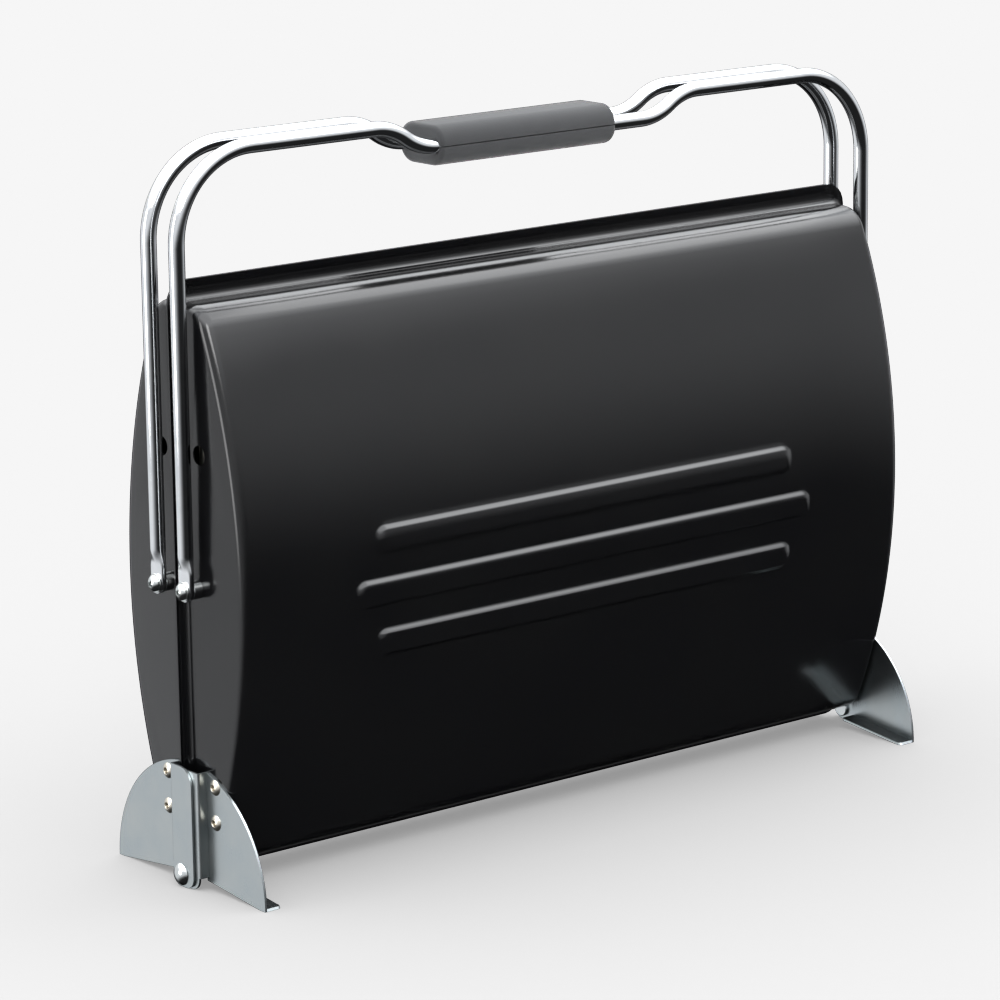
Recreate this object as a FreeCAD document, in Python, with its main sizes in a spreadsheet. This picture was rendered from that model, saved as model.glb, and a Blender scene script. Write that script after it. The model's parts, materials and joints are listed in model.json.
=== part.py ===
import FreeCAD, Part
import os
from math import atan2, pi, sqrt

import Sketcher

# Folding camp grill: two pressed half trays hinged along their lower edge, each with quarter-round
# leg plates, a wire carrying handle, a charcoal grate and a cooking grid. Folded, it is a carrying
# case. X runs along the case, the front half is at -Y and the ground is at Z = 0.

V = FreeCAD.Vector
ORIGIN, START, END, CENTRE = -1, 1, 2, 3

doc = FreeCAD.newDocument("FoldingCampGrill")
sheet = doc.addObject("Spreadsheet::Sheet", "Sizes")

DRIVING_SIZES = [
    # pressed half trays
    ("gauge", 1.0, "steel sheet of the trays"),
    ("rim_gap", 0.2, "half of the gap between the closed rims"),
    ("wall_end", 226.0, "end wall's outer face from the middle"),
    ("wall_low", 11.2, "height of the front tray's lower wall"),
    ("rear_wall_low", 11.2, "rear tray's lower wall, clear of the front rim as it folds past"),
    ("wall_high", 301.0, "height of the tray's upper wall"),
    ("vault_depth", 51.6, "depth of a half tray from the closing plane"),
    ("vault_round", 350.0, "radius of the vaulted back"),
    ("shoulder_round", 16.0, "round between vault and long wall"),
    ("edge_round", 3.6, "round between vault and end wall"),
    ("corner_round", 12.0, "rim corner"),
    ("front_rim_end", 230.0, "front rim's end from the middle"),
    ("front_rim_low", 5.3, "front rim's lower edge"),
    ("front_rim_high", 307.0, "front rim's upper edge"),
    ("rear_rim_end", 231.0, "rear rim's end from the middle"),
    ("rear_rim_low", 11.2, "rear rim's lower edge"),
    ("rear_rim_high", 312.0, "rear rim's upper edge"),
    ("vent_hole", 10.0, "air hole in each end wall"),
    ("vent_depth", 16.0, "air hole's distance from the closing plane"),
    ("vent_height", 226.0, "air hole's height"),
    # hinge and leg plates
    ("hinge_back", 1.5, "hinge axis in front of the closing plane"),
    ("hinge_height", 6.3, "hinge axis above the ground"),
    ("leg_gauge", 1.2, "steel sheet of the leg plates"),
    ("leg_round", 64.0, "radius of the quarter-round plate"),
    ("front_step", 13.5, "from hinge axis to the step in the front leg plate"),
    ("front_free", 5.6, "from hinge axis to the front strip's free edge"),
    ("front_head", 4.0, "round at the top of the front strip's free edge"),
    ("front_strip", 231.4, "inner face of the front leg's strip"),
    ("front_rivet_out", 22.2, "front leg rivets from the hinge axis"),
    ("rear_step", 6.6, "from hinge axis to the step in the rear leg plate"),
    ("rear_free", 10.5, "from hinge axis to the rear strip's free edge"),
    ("rear_head", 9.5, "round at the top of the rear strip's free edge"),
    ("rear_strip", 232.8, "inner face of the rear leg's strip"),
    ("rear_rivet_out", 19.0, "rear leg rivets from the hinge axis"),
    ("strip_low", 0.1, "strip's lower end above the ground"),
    ("front_step_clear", 0.5, "front step's lower end above the hinge axis"),
    ("rear_step_clear", 5.2, "rear step's lower end, clear of the front strip as it swings round"),
    ("foot_width", 9.0, "folded foot flange"),
    ("foot_flat", 4.0, "level end of the foot flange, which stands on the ground"),
    ("foot_corner", 2.0, "foot flange's rounded corners"),
    ("foot_start", 16.0, "foot flange's inner end"),
    ("foot_high", 4.75, "foot's lower edge at the flange's inner end"),
    ("leg_rivet_low", 37.2, "lower leg rivet"),
    ("leg_rivet_high", 55.8, "upper leg rivet"),
    ("leg_rivet_hole", 4.8, "hole of a leg rivet"),
    ("hinge_rivet", 6.0, "hinge rivet's shank"),
    ("hinge_hole", 6.1, "hinge hole"),
    ("hinge_dome", 11.6, "hinge rivet's domed head"),
    ("hinge_dome_rise", 3.0, "height of the hinge rivet's dome"),
    ("hinge_tail", 9.6, "hinge rivet's tail"),
    ("hinge_tail_gauge", 1.6, "thickness of the hinge rivet's tail"),
    ("leg_head", 8.2, "leg rivet's domed flange"),
    ("leg_head_rise", 1.7, "height of the leg rivet's flange"),
    ("leg_bulb", 6.2, "leg rivet's bulb inside the tray"),
    ("leg_bulb_long", 3.2, "length of the leg rivet's bulb"),
    ("leg_bore", 2.6, "bore left by the leg rivet's pin"),
    # wire handles
    ("rod", 8.0, "handle wire"),
    ("arm_out", 233.0, "handle arm's axis from the middle"),
    ("rod_back", 12.0, "handle wire from the closing plane"),
    ("bar_height", 377.0, "upper run of the handle"),
    ("grip_height", 364.5, "run under the grip"),
    ("grip_run", 70.0, "half length of the run under the grip"),
    ("swan_end", 110.0, "end of the swan neck"),
    ("handle_round", 46.0, "handle's corner"),
    ("swing_height", 157.0, "handle screw's height"),
    ("tab_in", 231.4, "inner face of the handle's flattened end"),
    ("tab_gauge", 3.2, "thickness of the flattened end"),
    ("tab_width", 11.0, "width of the flattened end"),
    ("tab_top", 165.0, "where the flattened end stops"),
    ("arm_low", 175.0, "where the full round wire starts"),
    ("screw", 5.0, "handle screw"),
    ("screw_hole", 5.2, "handle screw's hole"),
    ("washer_out", 10.0, "handle washer and spacer"),
    ("washer_gauge", 0.95, "thickness of the outer washer"),
    ("washer_gap", 0.05, "play beside a washer or spacer"),
    ("screw_head", 9.4, "handle screw's domed head"),
    ("screw_head_rise", 3.3, "height of the screw's dome"),
    ("recess_long", 5.0, "cross recess from tip to tip"),
    ("recess_wide", 1.3, "width of the cross recess"),
    ("recess_depth", 2.0, "depth of the cross recess below the head's crown"),
    ("nut_circle", 9.2, "nut across its corners"),
    ("nut_gauge", 4.0, "thickness of the nut"),
    ("grip_long", 118.0, "grip's length"),
    ("grip_shift", -11.0, "grip's middle along the handle"),
    ("grip_deep", 36.0, "grip across both wires"),
    ("grip_tall", 21.0, "grip's height"),
    ("grip_round", 9.5, "grip's long edges"),
    ("grip_slot", 9.4, "slot that snaps over the front wire"),
    # wire grids
    ("grid_end", 216.0, "cooking grid's end from the middle"),
    ("grid_low", 20.0, "cooking grid's lower side"),
    ("grid_high", 289.0, "cooking grid's upper side"),
    ("grid_back", 6.5, "cooking grid's depth"),
    ("frame_wire", 5.0, "frame wire"),
    ("bar_wire", 3.0, "bar wire"),
    ("grid_bars", 29, "bars of the cooking grid"),
    ("grate_end", 200.0, "charcoal grate's end from the middle"),
    ("grate_half", 92.0, "charcoal grate's half width"),
    ("grate_back", 31.5, "charcoal grate's depth"),
    ("grate_bars", 15, "bars of the charcoal grate"),
    ("clip_width", 16.0, "clip that holds the grid"),
    ("clip_reach", 10.5, "clip's reach from the end wall"),
    ("clip_half", 4.4, "half of the clip's height"),
    ("clip_low", 70.0, "lower clip"),
    ("clip_high", 239.0, "upper clip"),
]


class Size:
    """A length that carries its number and the expression it is bound to."""

    def __init__(self, value, text):
        self.value = value
        self.text = text

    def __add__(self, other):
        other = as_size(other)
        return Size(self.value + other.value, f"({self.text} + {other.text})")

    def __sub__(self, other):
        other = as_size(other)
        return Size(self.value - other.value, f"({self.text} - {other.text})")

    def __mul__(self, factor):
        factor = as_size(factor)
        return Size(self.value * factor.value, f"({self.text} * {factor.text})")

    def __truediv__(self, divisor):
        divisor = as_size(divisor)
        return Size(self.value / divisor.value, f"({self.text} / {divisor.text})")

    def __neg__(self):
        return Size(-self.value, f"(0 - {self.text})")


def as_size(number):
    return number if isinstance(number, Size) else Size(float(number), repr(float(number)))


def root_of(size):
    return Size(sqrt(size.value), f"sqrt({size.text})")


def fill_sheet():
    """Writes one row for each driving size and returns the sizes by name."""
    sizes = {}
    for row, (name, value, note) in enumerate(DRIVING_SIZES, start=1):
        sheet.set(f"A{row}", note)
        sheet.set(f"B{row}", str(value))
        sheet.setAlias(f"B{row}", name)
        sizes[name] = Size(float(value), f"Sizes.{name}")
    doc.recompute()
    return sizes


S = fill_sheet()
OPEN_PLANE = S["rim_gap"] + S["gauge"]
HALF_TURN = FreeCAD.Placement(V(0, 0, 0), FreeCAD.Rotation(V(0, 0, 1), 180))
ALONG_X = FreeCAD.Rotation(V(0, 1, 0), 90)
AGAINST_X = FreeCAD.Rotation(V(0, 1, 0), -90)
nodes = []


class Half:
    """What differs between the front and the rear half, in the half's own frame."""

    def __init__(self, name, wall_low, hinge, placement):
        self.name = name
        self.wall_low = wall_low
        self.middle = (wall_low + S["wall_high"]) / 2
        self.rim_end = S[f"{name}_rim_end"]
        self.rim_low = S[f"{name}_rim_low"]
        self.rim_high = S[f"{name}_rim_high"]
        self.strip = S[f"{name}_strip"]
        self.step = S[f"{name}_step"]
        self.step_clear = S[f"{name}_step_clear"]
        self.free = S[f"{name}_free"]
        self.head = S[f"{name}_head"]
        self.rivet_out = S[f"{name}_rivet_out"]
        self.hinge = hinge
        self.placement = placement


FRONT = Half("front", S["wall_low"], -S["hinge_back"], FreeCAD.Placement())
REAR = Half("rear", S["rear_wall_low"], S["hinge_back"], HALF_TURN)


def bind(thing, prop, size):
    thing.setExpression(prop, as_size(size).text)


def keep(thing, label, placement=None):
    """Names a finished sub-part, places it and lists it for export."""
    thing.Label = label
    if placement:
        thing.Placement = placement.multiply(thing.Placement)
    nodes.append(thing)
    return thing


# Sketch and feature helpers


def new_body(label):
    body = doc.addObject("PartDesign::Body", label)
    body.Label = label
    return body


def new_sketch(body, name, role, offset=0.0):
    """A sketch on the body's own origin plane, moved along the plane's normal."""
    sketch = body.newObject("Sketcher::SketchObject", name)
    plane = next(item for item in body.Origin.OriginFeatures if item.Role == role)
    sketch.AttachmentSupport = [(plane, "")]
    sketch.MapMode = "FlatFace"
    bind(sketch, "AttachmentOffset.Base.z", offset)
    return sketch


def pin_one(sketch, geometry, point, kind, size):
    """Holds a sketch point at a bound DistanceX or DistanceY from the origin."""
    size = as_size(size)
    if abs(size.value) < 1e-9:
        axis = -2 if kind == "DistanceX" else -1
        sketch.addConstraint(Sketcher.Constraint("PointOnObject", geometry, point, axis))
        return
    if size.value > 0:
        ends = (ORIGIN, START, geometry, point)
    else:
        ends = (geometry, point, ORIGIN, START)
        size = -size
    index = sketch.addConstraint(Sketcher.Constraint(kind, *ends, size.value))
    sketch.setExpression(f"Constraints[{index}]", size.text)


def pin(sketch, geometry, point, x, y):
    pin_one(sketch, geometry, point, "DistanceX", x)
    pin_one(sketch, geometry, point, "DistanceY", y)


def add_outline(sketch, corners, arcs=None):
    """A closed outline through the corners; arcs maps a side to its (centre, radius)."""
    arcs = arcs or {}
    ends = []
    count = len(corners)
    for side in range(count):
        x1, y1 = (as_size(c).value for c in corners[side])
        x2, y2 = (as_size(c).value for c in corners[(side + 1) % count])
        if side not in arcs:
            index = sketch.addGeometry(Part.LineSegment(V(x1, y1, 0), V(x2, y2, 0)), False)
            ends.append((index, START, END))
            continue
        (cx, cy), radius = arcs[side]
        first = atan2(y1 - cy, x1 - cx)
        last = atan2(y2 - cy, x2 - cx)
        clockwise = (last - first) % (2 * pi) > pi + 1e-6
        if clockwise:
            first, last = last, first
        circle = Part.Circle(V(cx, cy, 0), V(0, 0, 1), radius.value)
        index = sketch.addGeometry(Part.ArcOfCircle(circle, first, last), False)
        ends.append((index, END, START) if clockwise else (index, START, END))
    for side in range(count):
        index, _, end = ends[side]
        following, start, _ = ends[(side + 1) % count]
        sketch.addConstraint(Sketcher.Constraint("Coincident", index, end, following, start))
    for side, corner in enumerate(corners):
        index, start, _ = ends[side]
        pin(sketch, index, start, *corner)
    for side, (_, radius) in arcs.items():
        hold_arc(sketch, ends[side][0], corners[side], corners[(side + 1) % count], radius)


def hold_arc(sketch, index, first, last, radius):
    """Fixes an arc between two held ends: by its centre if it is a half circle, else by radius."""
    (x1, y1), (x2, y2) = ([as_size(c).value for c in corner] for corner in (first, last))
    if abs(radius.value * 2 - sqrt((x2 - x1) ** 2 + (y2 - y1) ** 2)) > 1e-6:
        number = sketch.addConstraint(Sketcher.Constraint("Radius", index, radius.value))
        sketch.setExpression(f"Constraints[{number}]", radius.text)
    elif abs(x1 - x2) < 1e-9:
        pin_one(sketch, index, CENTRE, "DistanceX", first[0])
    else:
        pin_one(sketch, index, CENTRE, "DistanceY", first[1])


def add_box_outline(sketch, left, low, right, high):
    add_outline(sketch, [(left, low), (right, low), (right, high), (left, high)])


def add_round_box(sketch, end, low, high, radius):
    """A rectangle from -end to end with four rounded corners."""
    reach, foot, head = end - radius, low + radius, high - radius
    corners = [(-reach, low), (reach, low), (end, foot), (end, head),
               (reach, high), (-reach, high), (-end, head), (-end, foot)]
    x, bottom, top = reach.value, foot.value, head.value
    centres = {1: (x, bottom), 3: (x, top), 5: (-x, top), 7: (-x, bottom)}
    add_outline(sketch, corners, {side: (centre, radius) for side, centre in centres.items()})


def add_circle(sketch, x, y, diameter):
    x, y, diameter = as_size(x), as_size(y), as_size(diameter)
    circle = Part.Circle(V(x.value, y.value, 0), V(0, 0, 1), diameter.value / 2)
    index = sketch.addGeometry(circle, False)
    pin(sketch, index, CENTRE, x, y)
    number = sketch.addConstraint(Sketcher.Constraint("Diameter", index, diameter.value))
    sketch.setExpression(f"Constraints[{number}]", diameter.text)


def pad(body, sketch, length, name, both_ways=False, backwards=False):
    feature = body.newObject("PartDesign::Pad", name)
    feature.Profile = sketch
    bind(feature, "Length", length)
    feature.SideType = "Symmetric" if both_ways else "One side"
    feature.Reversed = backwards
    sketch.Visibility = False
    doc.recompute()
    return feature


def cut_through(body, sketch, name):
    """Cuts the sketch through the whole body, both ways from its plane."""
    before = body.Tip.Shape.Volume
    feature = body.newObject("PartDesign::Pocket", name)
    feature.Profile = sketch
    feature.Type = "ThroughAll"
    feature.SideType = "Symmetric"
    doc.recompute()
    if not feature.Shape.Volume < before:
        raise RuntimeError(f"{body.Label}: {name} removes nothing")
    return feature


def edge_names(shape, wanted):
    return [f"Edge{i}" for i, edge in enumerate(shape.Edges, start=1) if wanted(edge)]


def round_edges(body, wanted, radius, name):
    """Rounds the edges of the body's tip that the test picks."""
    base = body.Tip
    feature = body.newObject("PartDesign::Fillet", name)
    feature.Base = (base, edge_names(base.Shape, wanted))
    bind(feature, "Radius", radius)
    doc.recompute()
    return feature


def runs_along(edge, axis):
    """True for a straight edge that is parallel to an axis (0, 1 or 2)."""
    if len(edge.Vertexes) != 2 or not isinstance(edge.Curve, (Part.Line, Part.LineSegment)):
        return False
    step = edge.Vertexes[1].Point - edge.Vertexes[0].Point
    others = [abs(step[i]) for i in range(3) if i != axis]
    return max(others) < 1e-6


def lies_at(edge, axis, place, reach=0.01):
    """True when every vertex of the edge is at a place along an axis."""
    return all(abs(vertex.Point[axis] - place) < reach for vertex in edge.Vertexes)


# Pressed half tray


def make_shell(half):
    body = new_body(f"{half.name}_shell")
    profile = new_sketch(body, "VaultProfile", "YZ_Plane")
    rise = S["wall_high"] - half.middle
    centre = S["vault_round"] - S["vault_depth"]
    brow = root_of(S["vault_round"] * S["vault_round"] - rise * rise) - centre
    corners = [(-OPEN_PLANE, half.wall_low), (-OPEN_PLANE, S["wall_high"]),
               (-brow, S["wall_high"]), (-brow, half.wall_low)]
    add_outline(profile, corners, {2: ((centre.value, half.middle.value), S["vault_round"])})
    pad(body, profile, S["wall_end"] * 2, "VaultPad", both_ways=True)

    def is_shoulder(edge):
        return runs_along(edge, 0) and lies_at(edge, 1, -brow.value)

    round_edges(body, is_shoulder, S["shoulder_round"], "ShoulderRound")
    wall_end = S["wall_end"].value

    def is_end_edge(edge):
        at_end = lies_at(edge, 0, wall_end) or lies_at(edge, 0, -wall_end)
        return at_end and not lies_at(edge, 1, -OPEN_PLANE.value)

    round_edges(body, is_end_edge, S["edge_round"], "EndRound")
    base = body.Tip
    opening = [f"Face{i}" for i, face in enumerate(base.Shape.Faces, start=1)
               if abs(face.CenterOfMass.y + OPEN_PLANE.value) < 0.01]
    hollow = body.newObject("PartDesign::Thickness", "SheetWall")
    hollow.Base = (base, opening)
    bind(hollow, "Value", S["gauge"])
    hollow.Reversed = True
    doc.recompute()
    if not hollow.Shape.Volume < 0.2 * base.Shape.Volume:
        raise RuntimeError(f"{body.Label}: the tray is not hollow")
    add_rim(body, half)
    drill_end_walls(body, half)
    return keep(body, body.Label, half.placement)


def add_rim(body, half):
    """The flat rim around the tray's mouth."""
    ring = new_sketch(body, "RimRing", "XZ_Plane", S["rim_gap"])
    inner_end = S["wall_end"] - S["gauge"]
    low = half.wall_low + S["gauge"]
    high = S["wall_high"] - S["gauge"]
    add_round_box(ring, half.rim_end, half.rim_low, half.rim_high, S["corner_round"])
    add_round_box(ring, inner_end, low, high, S["edge_round"] - S["gauge"])
    pad(body, ring, S["gauge"], "RimPad")


def drill_end_walls(body, half):
    """Holes for the handle screws, the air and the leg rivets, in both end walls at once."""
    holes = new_sketch(body, "EndHoles", "YZ_Plane")
    add_circle(holes, -S["rod_back"], S["swing_height"], S["screw_hole"])
    add_circle(holes, -S["vent_depth"], S["vent_height"], S["vent_hole"])
    for height in (S["leg_rivet_low"], S["leg_rivet_high"]):
        add_circle(holes, half.hinge - half.rivet_out, height, S["leg_rivet_hole"])
    cut_through(body, holes, "EndHolesCut")


# Leg plates


def make_legs(half):
    """The right leg plate is modelled and the left one is its mirror image."""
    body = new_body(f"{half.name}_leg_right")
    step = half.hinge - half.step
    step_back = step - S["leg_gauge"]
    arc_top = root_of(S["leg_round"] * S["leg_round"] - step * step)
    toe = S["foot_flat"] - S["leg_round"]
    slope = S["foot_high"] / (-toe - S["foot_start"])
    inner_low = slope * (step - toe)
    plate = new_sketch(body, "PlateOutline", "YZ_Plane", S["wall_end"])
    corners = [(-S["leg_round"], 0), (toe, 0), (step, inner_low), (step, arc_top)]
    add_outline(plate, corners, {3: ((0.0, 0.0), S["leg_round"])})
    pad(body, plate, S["leg_gauge"], "PlatePad")

    step_low = S["hinge_height"] + half.step_clear
    wall = new_sketch(body, "StepOutline", "XY_Plane", step_low)
    add_box_outline(wall, S["wall_end"], step_back, half.strip + S["leg_gauge"], step)
    pad(body, wall, arc_top - step_low, "StepPad")
    strip = new_sketch(body, "StripOutline", "YZ_Plane", half.strip)
    free = half.hinge + half.free
    add_box_outline(strip, step, S["strip_low"], free, arc_top)
    pad(body, strip, S["leg_gauge"], "StripPad")

    foot = new_sketch(body, "FootOutline", "YZ_Plane", S["wall_end"] + S["leg_gauge"])
    thick = S["leg_gauge"]
    corners = [(-S["leg_round"], 0), (toe, 0), (-S["foot_start"], S["foot_high"]),
               (-S["foot_start"], S["foot_high"] + thick), (toe, thick),
               (-S["leg_round"] + thick / 2, thick)]
    add_outline(foot, corners)
    pad(body, foot, S["foot_width"] + S["leg_gauge"], "FootPad", backwards=True)

    def is_strip_low(edge):
        inside = edge.CenterOfMass.x > half.strip.value
        return runs_along(edge, 0) and inside and edge.CenterOfMass.z < 1.0

    def is_strip_high(edge):
        at_free = abs(edge.CenterOfMass.y - free.value) < 0.01
        return runs_along(edge, 0) and at_free and edge.CenterOfMass.z > 10.0

    def is_outer_bend(edge):
        outer = abs(edge.CenterOfMass.x - half.strip.value - S["leg_gauge"].value) < 0.01
        return runs_along(edge, 2) and outer and abs(edge.CenterOfMass.y - step_back.value) < 0.01

    def is_foot_corner(edge):
        inner_end = S["wall_end"].value - S["foot_width"].value
        at_end = abs(edge.CenterOfMass.x - inner_end) < 0.01
        return at_end and edge.Length < 2.0 and not runs_along(edge, 0)

    round_edges(body, is_strip_low, S["hinge_height"] - 0.2, "StripFootRound")
    round_edges(body, is_strip_high, half.head, "StripHeadRound")
    round_edges(body, is_outer_bend, S["leg_gauge"] * 1.2, "BendRound")
    round_edges(body, is_foot_corner, S["foot_corner"], "FootCornerRound")

    holes = new_sketch(body, "LegHoles", "YZ_Plane")
    add_circle(holes, half.hinge, S["hinge_height"], S["hinge_hole"])
    for height in (S["leg_rivet_low"], S["leg_rivet_high"]):
        add_circle(holes, half.hinge - half.rivet_out, height, S["leg_rivet_hole"])
    cut_through(body, holes, "LegHolesCut")
    keep(body, body.Label, half.placement)

    mirrored = doc.addObject("Part::Mirroring", f"{half.name}_leg_mirrored")
    mirrored.Source = body
    mirrored.Normal = V(1, 0, 0)
    words = ("right", "left") if half is FRONT else ("left", "right")
    body.Label = f"{half.name}_leg_{words[0]}"
    keep(mirrored, f"{half.name}_leg_{words[1]}")


# Turned pieces: stacks of cylinders along X, whose faces are bound to the sheet


def disc(name, outer, start, thickness, y, z):
    """A cylinder along +X, or along -X when its start is negative."""
    piece = doc.addObject("Part::Cylinder", name)
    bind(piece, "Radius", as_size(outer) / 2)
    bind(piece, "Height", thickness)
    piece.Placement.Rotation = ALONG_X if as_size(start).value > 0 else AGAINST_X
    bind(piece, "Placement.Base.x", start)
    bind(piece, "Placement.Base.y", y)
    bind(piece, "Placement.Base.z", z)
    return piece


def fuse(name, pieces):
    joined = doc.addObject("Part::MultiFuse", name)
    joined.Shapes = pieces
    joined.Refine = True
    return joined


def less(name, base, tool):
    rest = doc.addObject("Part::Cut", name)
    rest.Base = base
    rest.Tool = tool
    return rest


def dome(name, outer, rise, start, y, z):
    """The cap of a ball: a button head that rises from its start plane."""
    outer, rise = as_size(outer), as_size(rise)
    ball_radius = (outer * outer / 4 + rise * rise) / (rise * 2)
    side = 1 if as_size(start).value > 0 else -1
    ball = doc.addObject("Part::Sphere", f"{name}_ball")
    bind(ball, "Radius", ball_radius)
    bind(ball, "Placement.Base.x", as_size(start) - (ball_radius - rise) * side)
    bind(ball, "Placement.Base.y", y)
    bind(ball, "Placement.Base.z", z)
    cap = doc.addObject("Part::Common", f"{name}_cap")
    cap.Base = ball
    cap.Tool = disc(f"{name}_blank", outer * 1.2, start, rise * 1.1, y, z)
    return cap


def group(label, pieces, placement=None):
    bundle = doc.addObject("Part::Compound", label)
    bundle.Links = pieces
    return keep(bundle, label, placement)


def make_hinge_rivets():
    """One rivet each side goes through both strips; its dome is outside."""
    y, z = -S["hinge_back"], S["hinge_height"]
    outer_face = S["rear_strip"] + S["leg_gauge"]
    play = S["strip_low"]
    tail_face = S["front_strip"] - play
    for side, word in ((1, "right"), (-1, "left")):
        name = f"hinge_rivet_{word}"
        shank_start = S["front_strip"] - S["hinge_tail_gauge"] / 2
        pieces = [
            disc(f"{name}_shank", S["hinge_rivet"], shank_start * side,
                 outer_face - shank_start + S["hinge_dome_rise"] / 2, y, z),
            disc(f"{name}_tail", S["hinge_tail"], (tail_face - S["hinge_tail_gauge"]) * side,
                 S["hinge_tail_gauge"], y, z),
            dome(f"{name}_head", S["hinge_dome"], S["hinge_dome_rise"], (outer_face + play) * side, y, z),
        ]
        keep(fuse(name, pieces), name)


def make_leg_rivets(half):
    """Four blind rivets hold the two leg plates on the end walls."""
    rivets = []
    y = half.hinge - half.rivet_out
    face = S["wall_end"] + S["leg_gauge"]
    inner_face = S["wall_end"] - S["gauge"]
    for side, word in ((1, "right"), (-1, "left")):
        for height, level in ((S["leg_rivet_low"], "low"), (S["leg_rivet_high"], "high")):
            name = f"{half.name}_{word}_{level}_rivet"
            pieces = [
                dome(f"{name}_head", S["leg_head"], S["leg_head_rise"], face * side, y, height),
                disc(f"{name}_shank", S["leg_rivet_hole"], inner_face * side,
                     face - inner_face + S["gauge"] / 4, y, height),
                disc(f"{name}_bulb", S["leg_bulb"], (inner_face - S["leg_bulb_long"]) * side,
                     S["leg_bulb_long"], y, height),
            ]
            solid = fuse(name, pieces)
            bore = disc(f"{name}_bore", S["leg_bore"], inner_face * side,
                        face - inner_face + S["leg_head_rise"] * 2, y, height)
            rivets.append(less(f"{name}_hollow", solid, bore))
    group(f"{half.name}_leg_rivets", rivets, half.placement)


# Handle screws with their washers and nuts


def make_handle_fasteners(half):
    y, z = -S["rod_back"], S["swing_height"]
    wall_in = S["wall_end"] - S["gauge"]
    gap = S["washer_gap"]
    tab_out = S["tab_in"] + S["tab_gauge"] + gap
    head_start = tab_out + S["washer_gauge"] + gap
    crown = head_start + S["screw_head_rise"]
    shank_start = wall_in - S["nut_gauge"] * 1.5
    screws, spacers, nuts = [], [], []
    for side, word in ((1, "right"), (-1, "left")):
        name = f"{half.name}_{word}"
        head = dome(f"{name}_screw_head", S["screw_head"], S["screw_head_rise"], head_start * side, y, z)
        shank = disc(f"{name}_screw_shank", S["screw"], shank_start * side,
                     head_start - shank_start + S["screw_head_rise"] / 4, y, z)
        body = fuse(f"{name}_screw", [head, shank])
        long, wide, deep = S["recess_long"], S["recess_wide"], S["recess_depth"]
        blades = []
        for number, (width, height) in enumerate(((long, wide), (wide, long))):
            blade = doc.addObject("Part::Box", f"{name}_recess_{number}")
            bind(blade, "Length", deep * 2)
            bind(blade, "Width", width)
            bind(blade, "Height", height)
            bind(blade, "Placement.Base.x", crown - deep if side > 0 else -crown - deep)
            bind(blade, "Placement.Base.y", y - width / 2)
            bind(blade, "Placement.Base.z", z - height / 2)
            blades.append(blade)
        screws.append(less(f"{name}_cross", body, fuse(f"{name}_recess", blades)))
        spacer = S["tab_in"] - S["wall_end"] - gap * 2
        stack = ((S["wall_end"] + gap, spacer, "inner"), (tab_out, S["washer_gauge"], "outer"))
        for start, thickness, level in stack:
            blank = disc(f"{name}_{level}_washer_blank", S["washer_out"], start * side, thickness, y, z)
            bore = disc(f"{name}_{level}_washer_bore", S["screw_hole"], start * side, thickness, y, z)
            spacers.append(less(f"{name}_{level}_washer", blank, bore))
        hexagon = doc.addObject("Part::Prism", f"{name}_nut_blank")
        hexagon.Polygon = 6
        bind(hexagon, "Circumradius", S["nut_circle"] / 2)
        bind(hexagon, "Height", S["nut_gauge"])
        hexagon.Placement.Rotation = ALONG_X if side > 0 else AGAINST_X
        bind(hexagon, "Placement.Base.x", (wall_in - gap - S["nut_gauge"]) * side)
        bind(hexagon, "Placement.Base.y", y)
        bind(hexagon, "Placement.Base.z", z)
        thread = disc(f"{name}_nut_bore", S["screw"] + gap, shank_start * side, S["nut_gauge"] * 2, y, z)
        nuts.append(less(f"{name}_nut", hexagon, thread))
    group(f"{half.name}_handle_screws", screws, half.placement)
    group(f"{half.name}_handle_washers", spacers, half.placement)
    group(f"{half.name}_handle_nuts", nuts, half.placement)


# Wire handle


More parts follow.
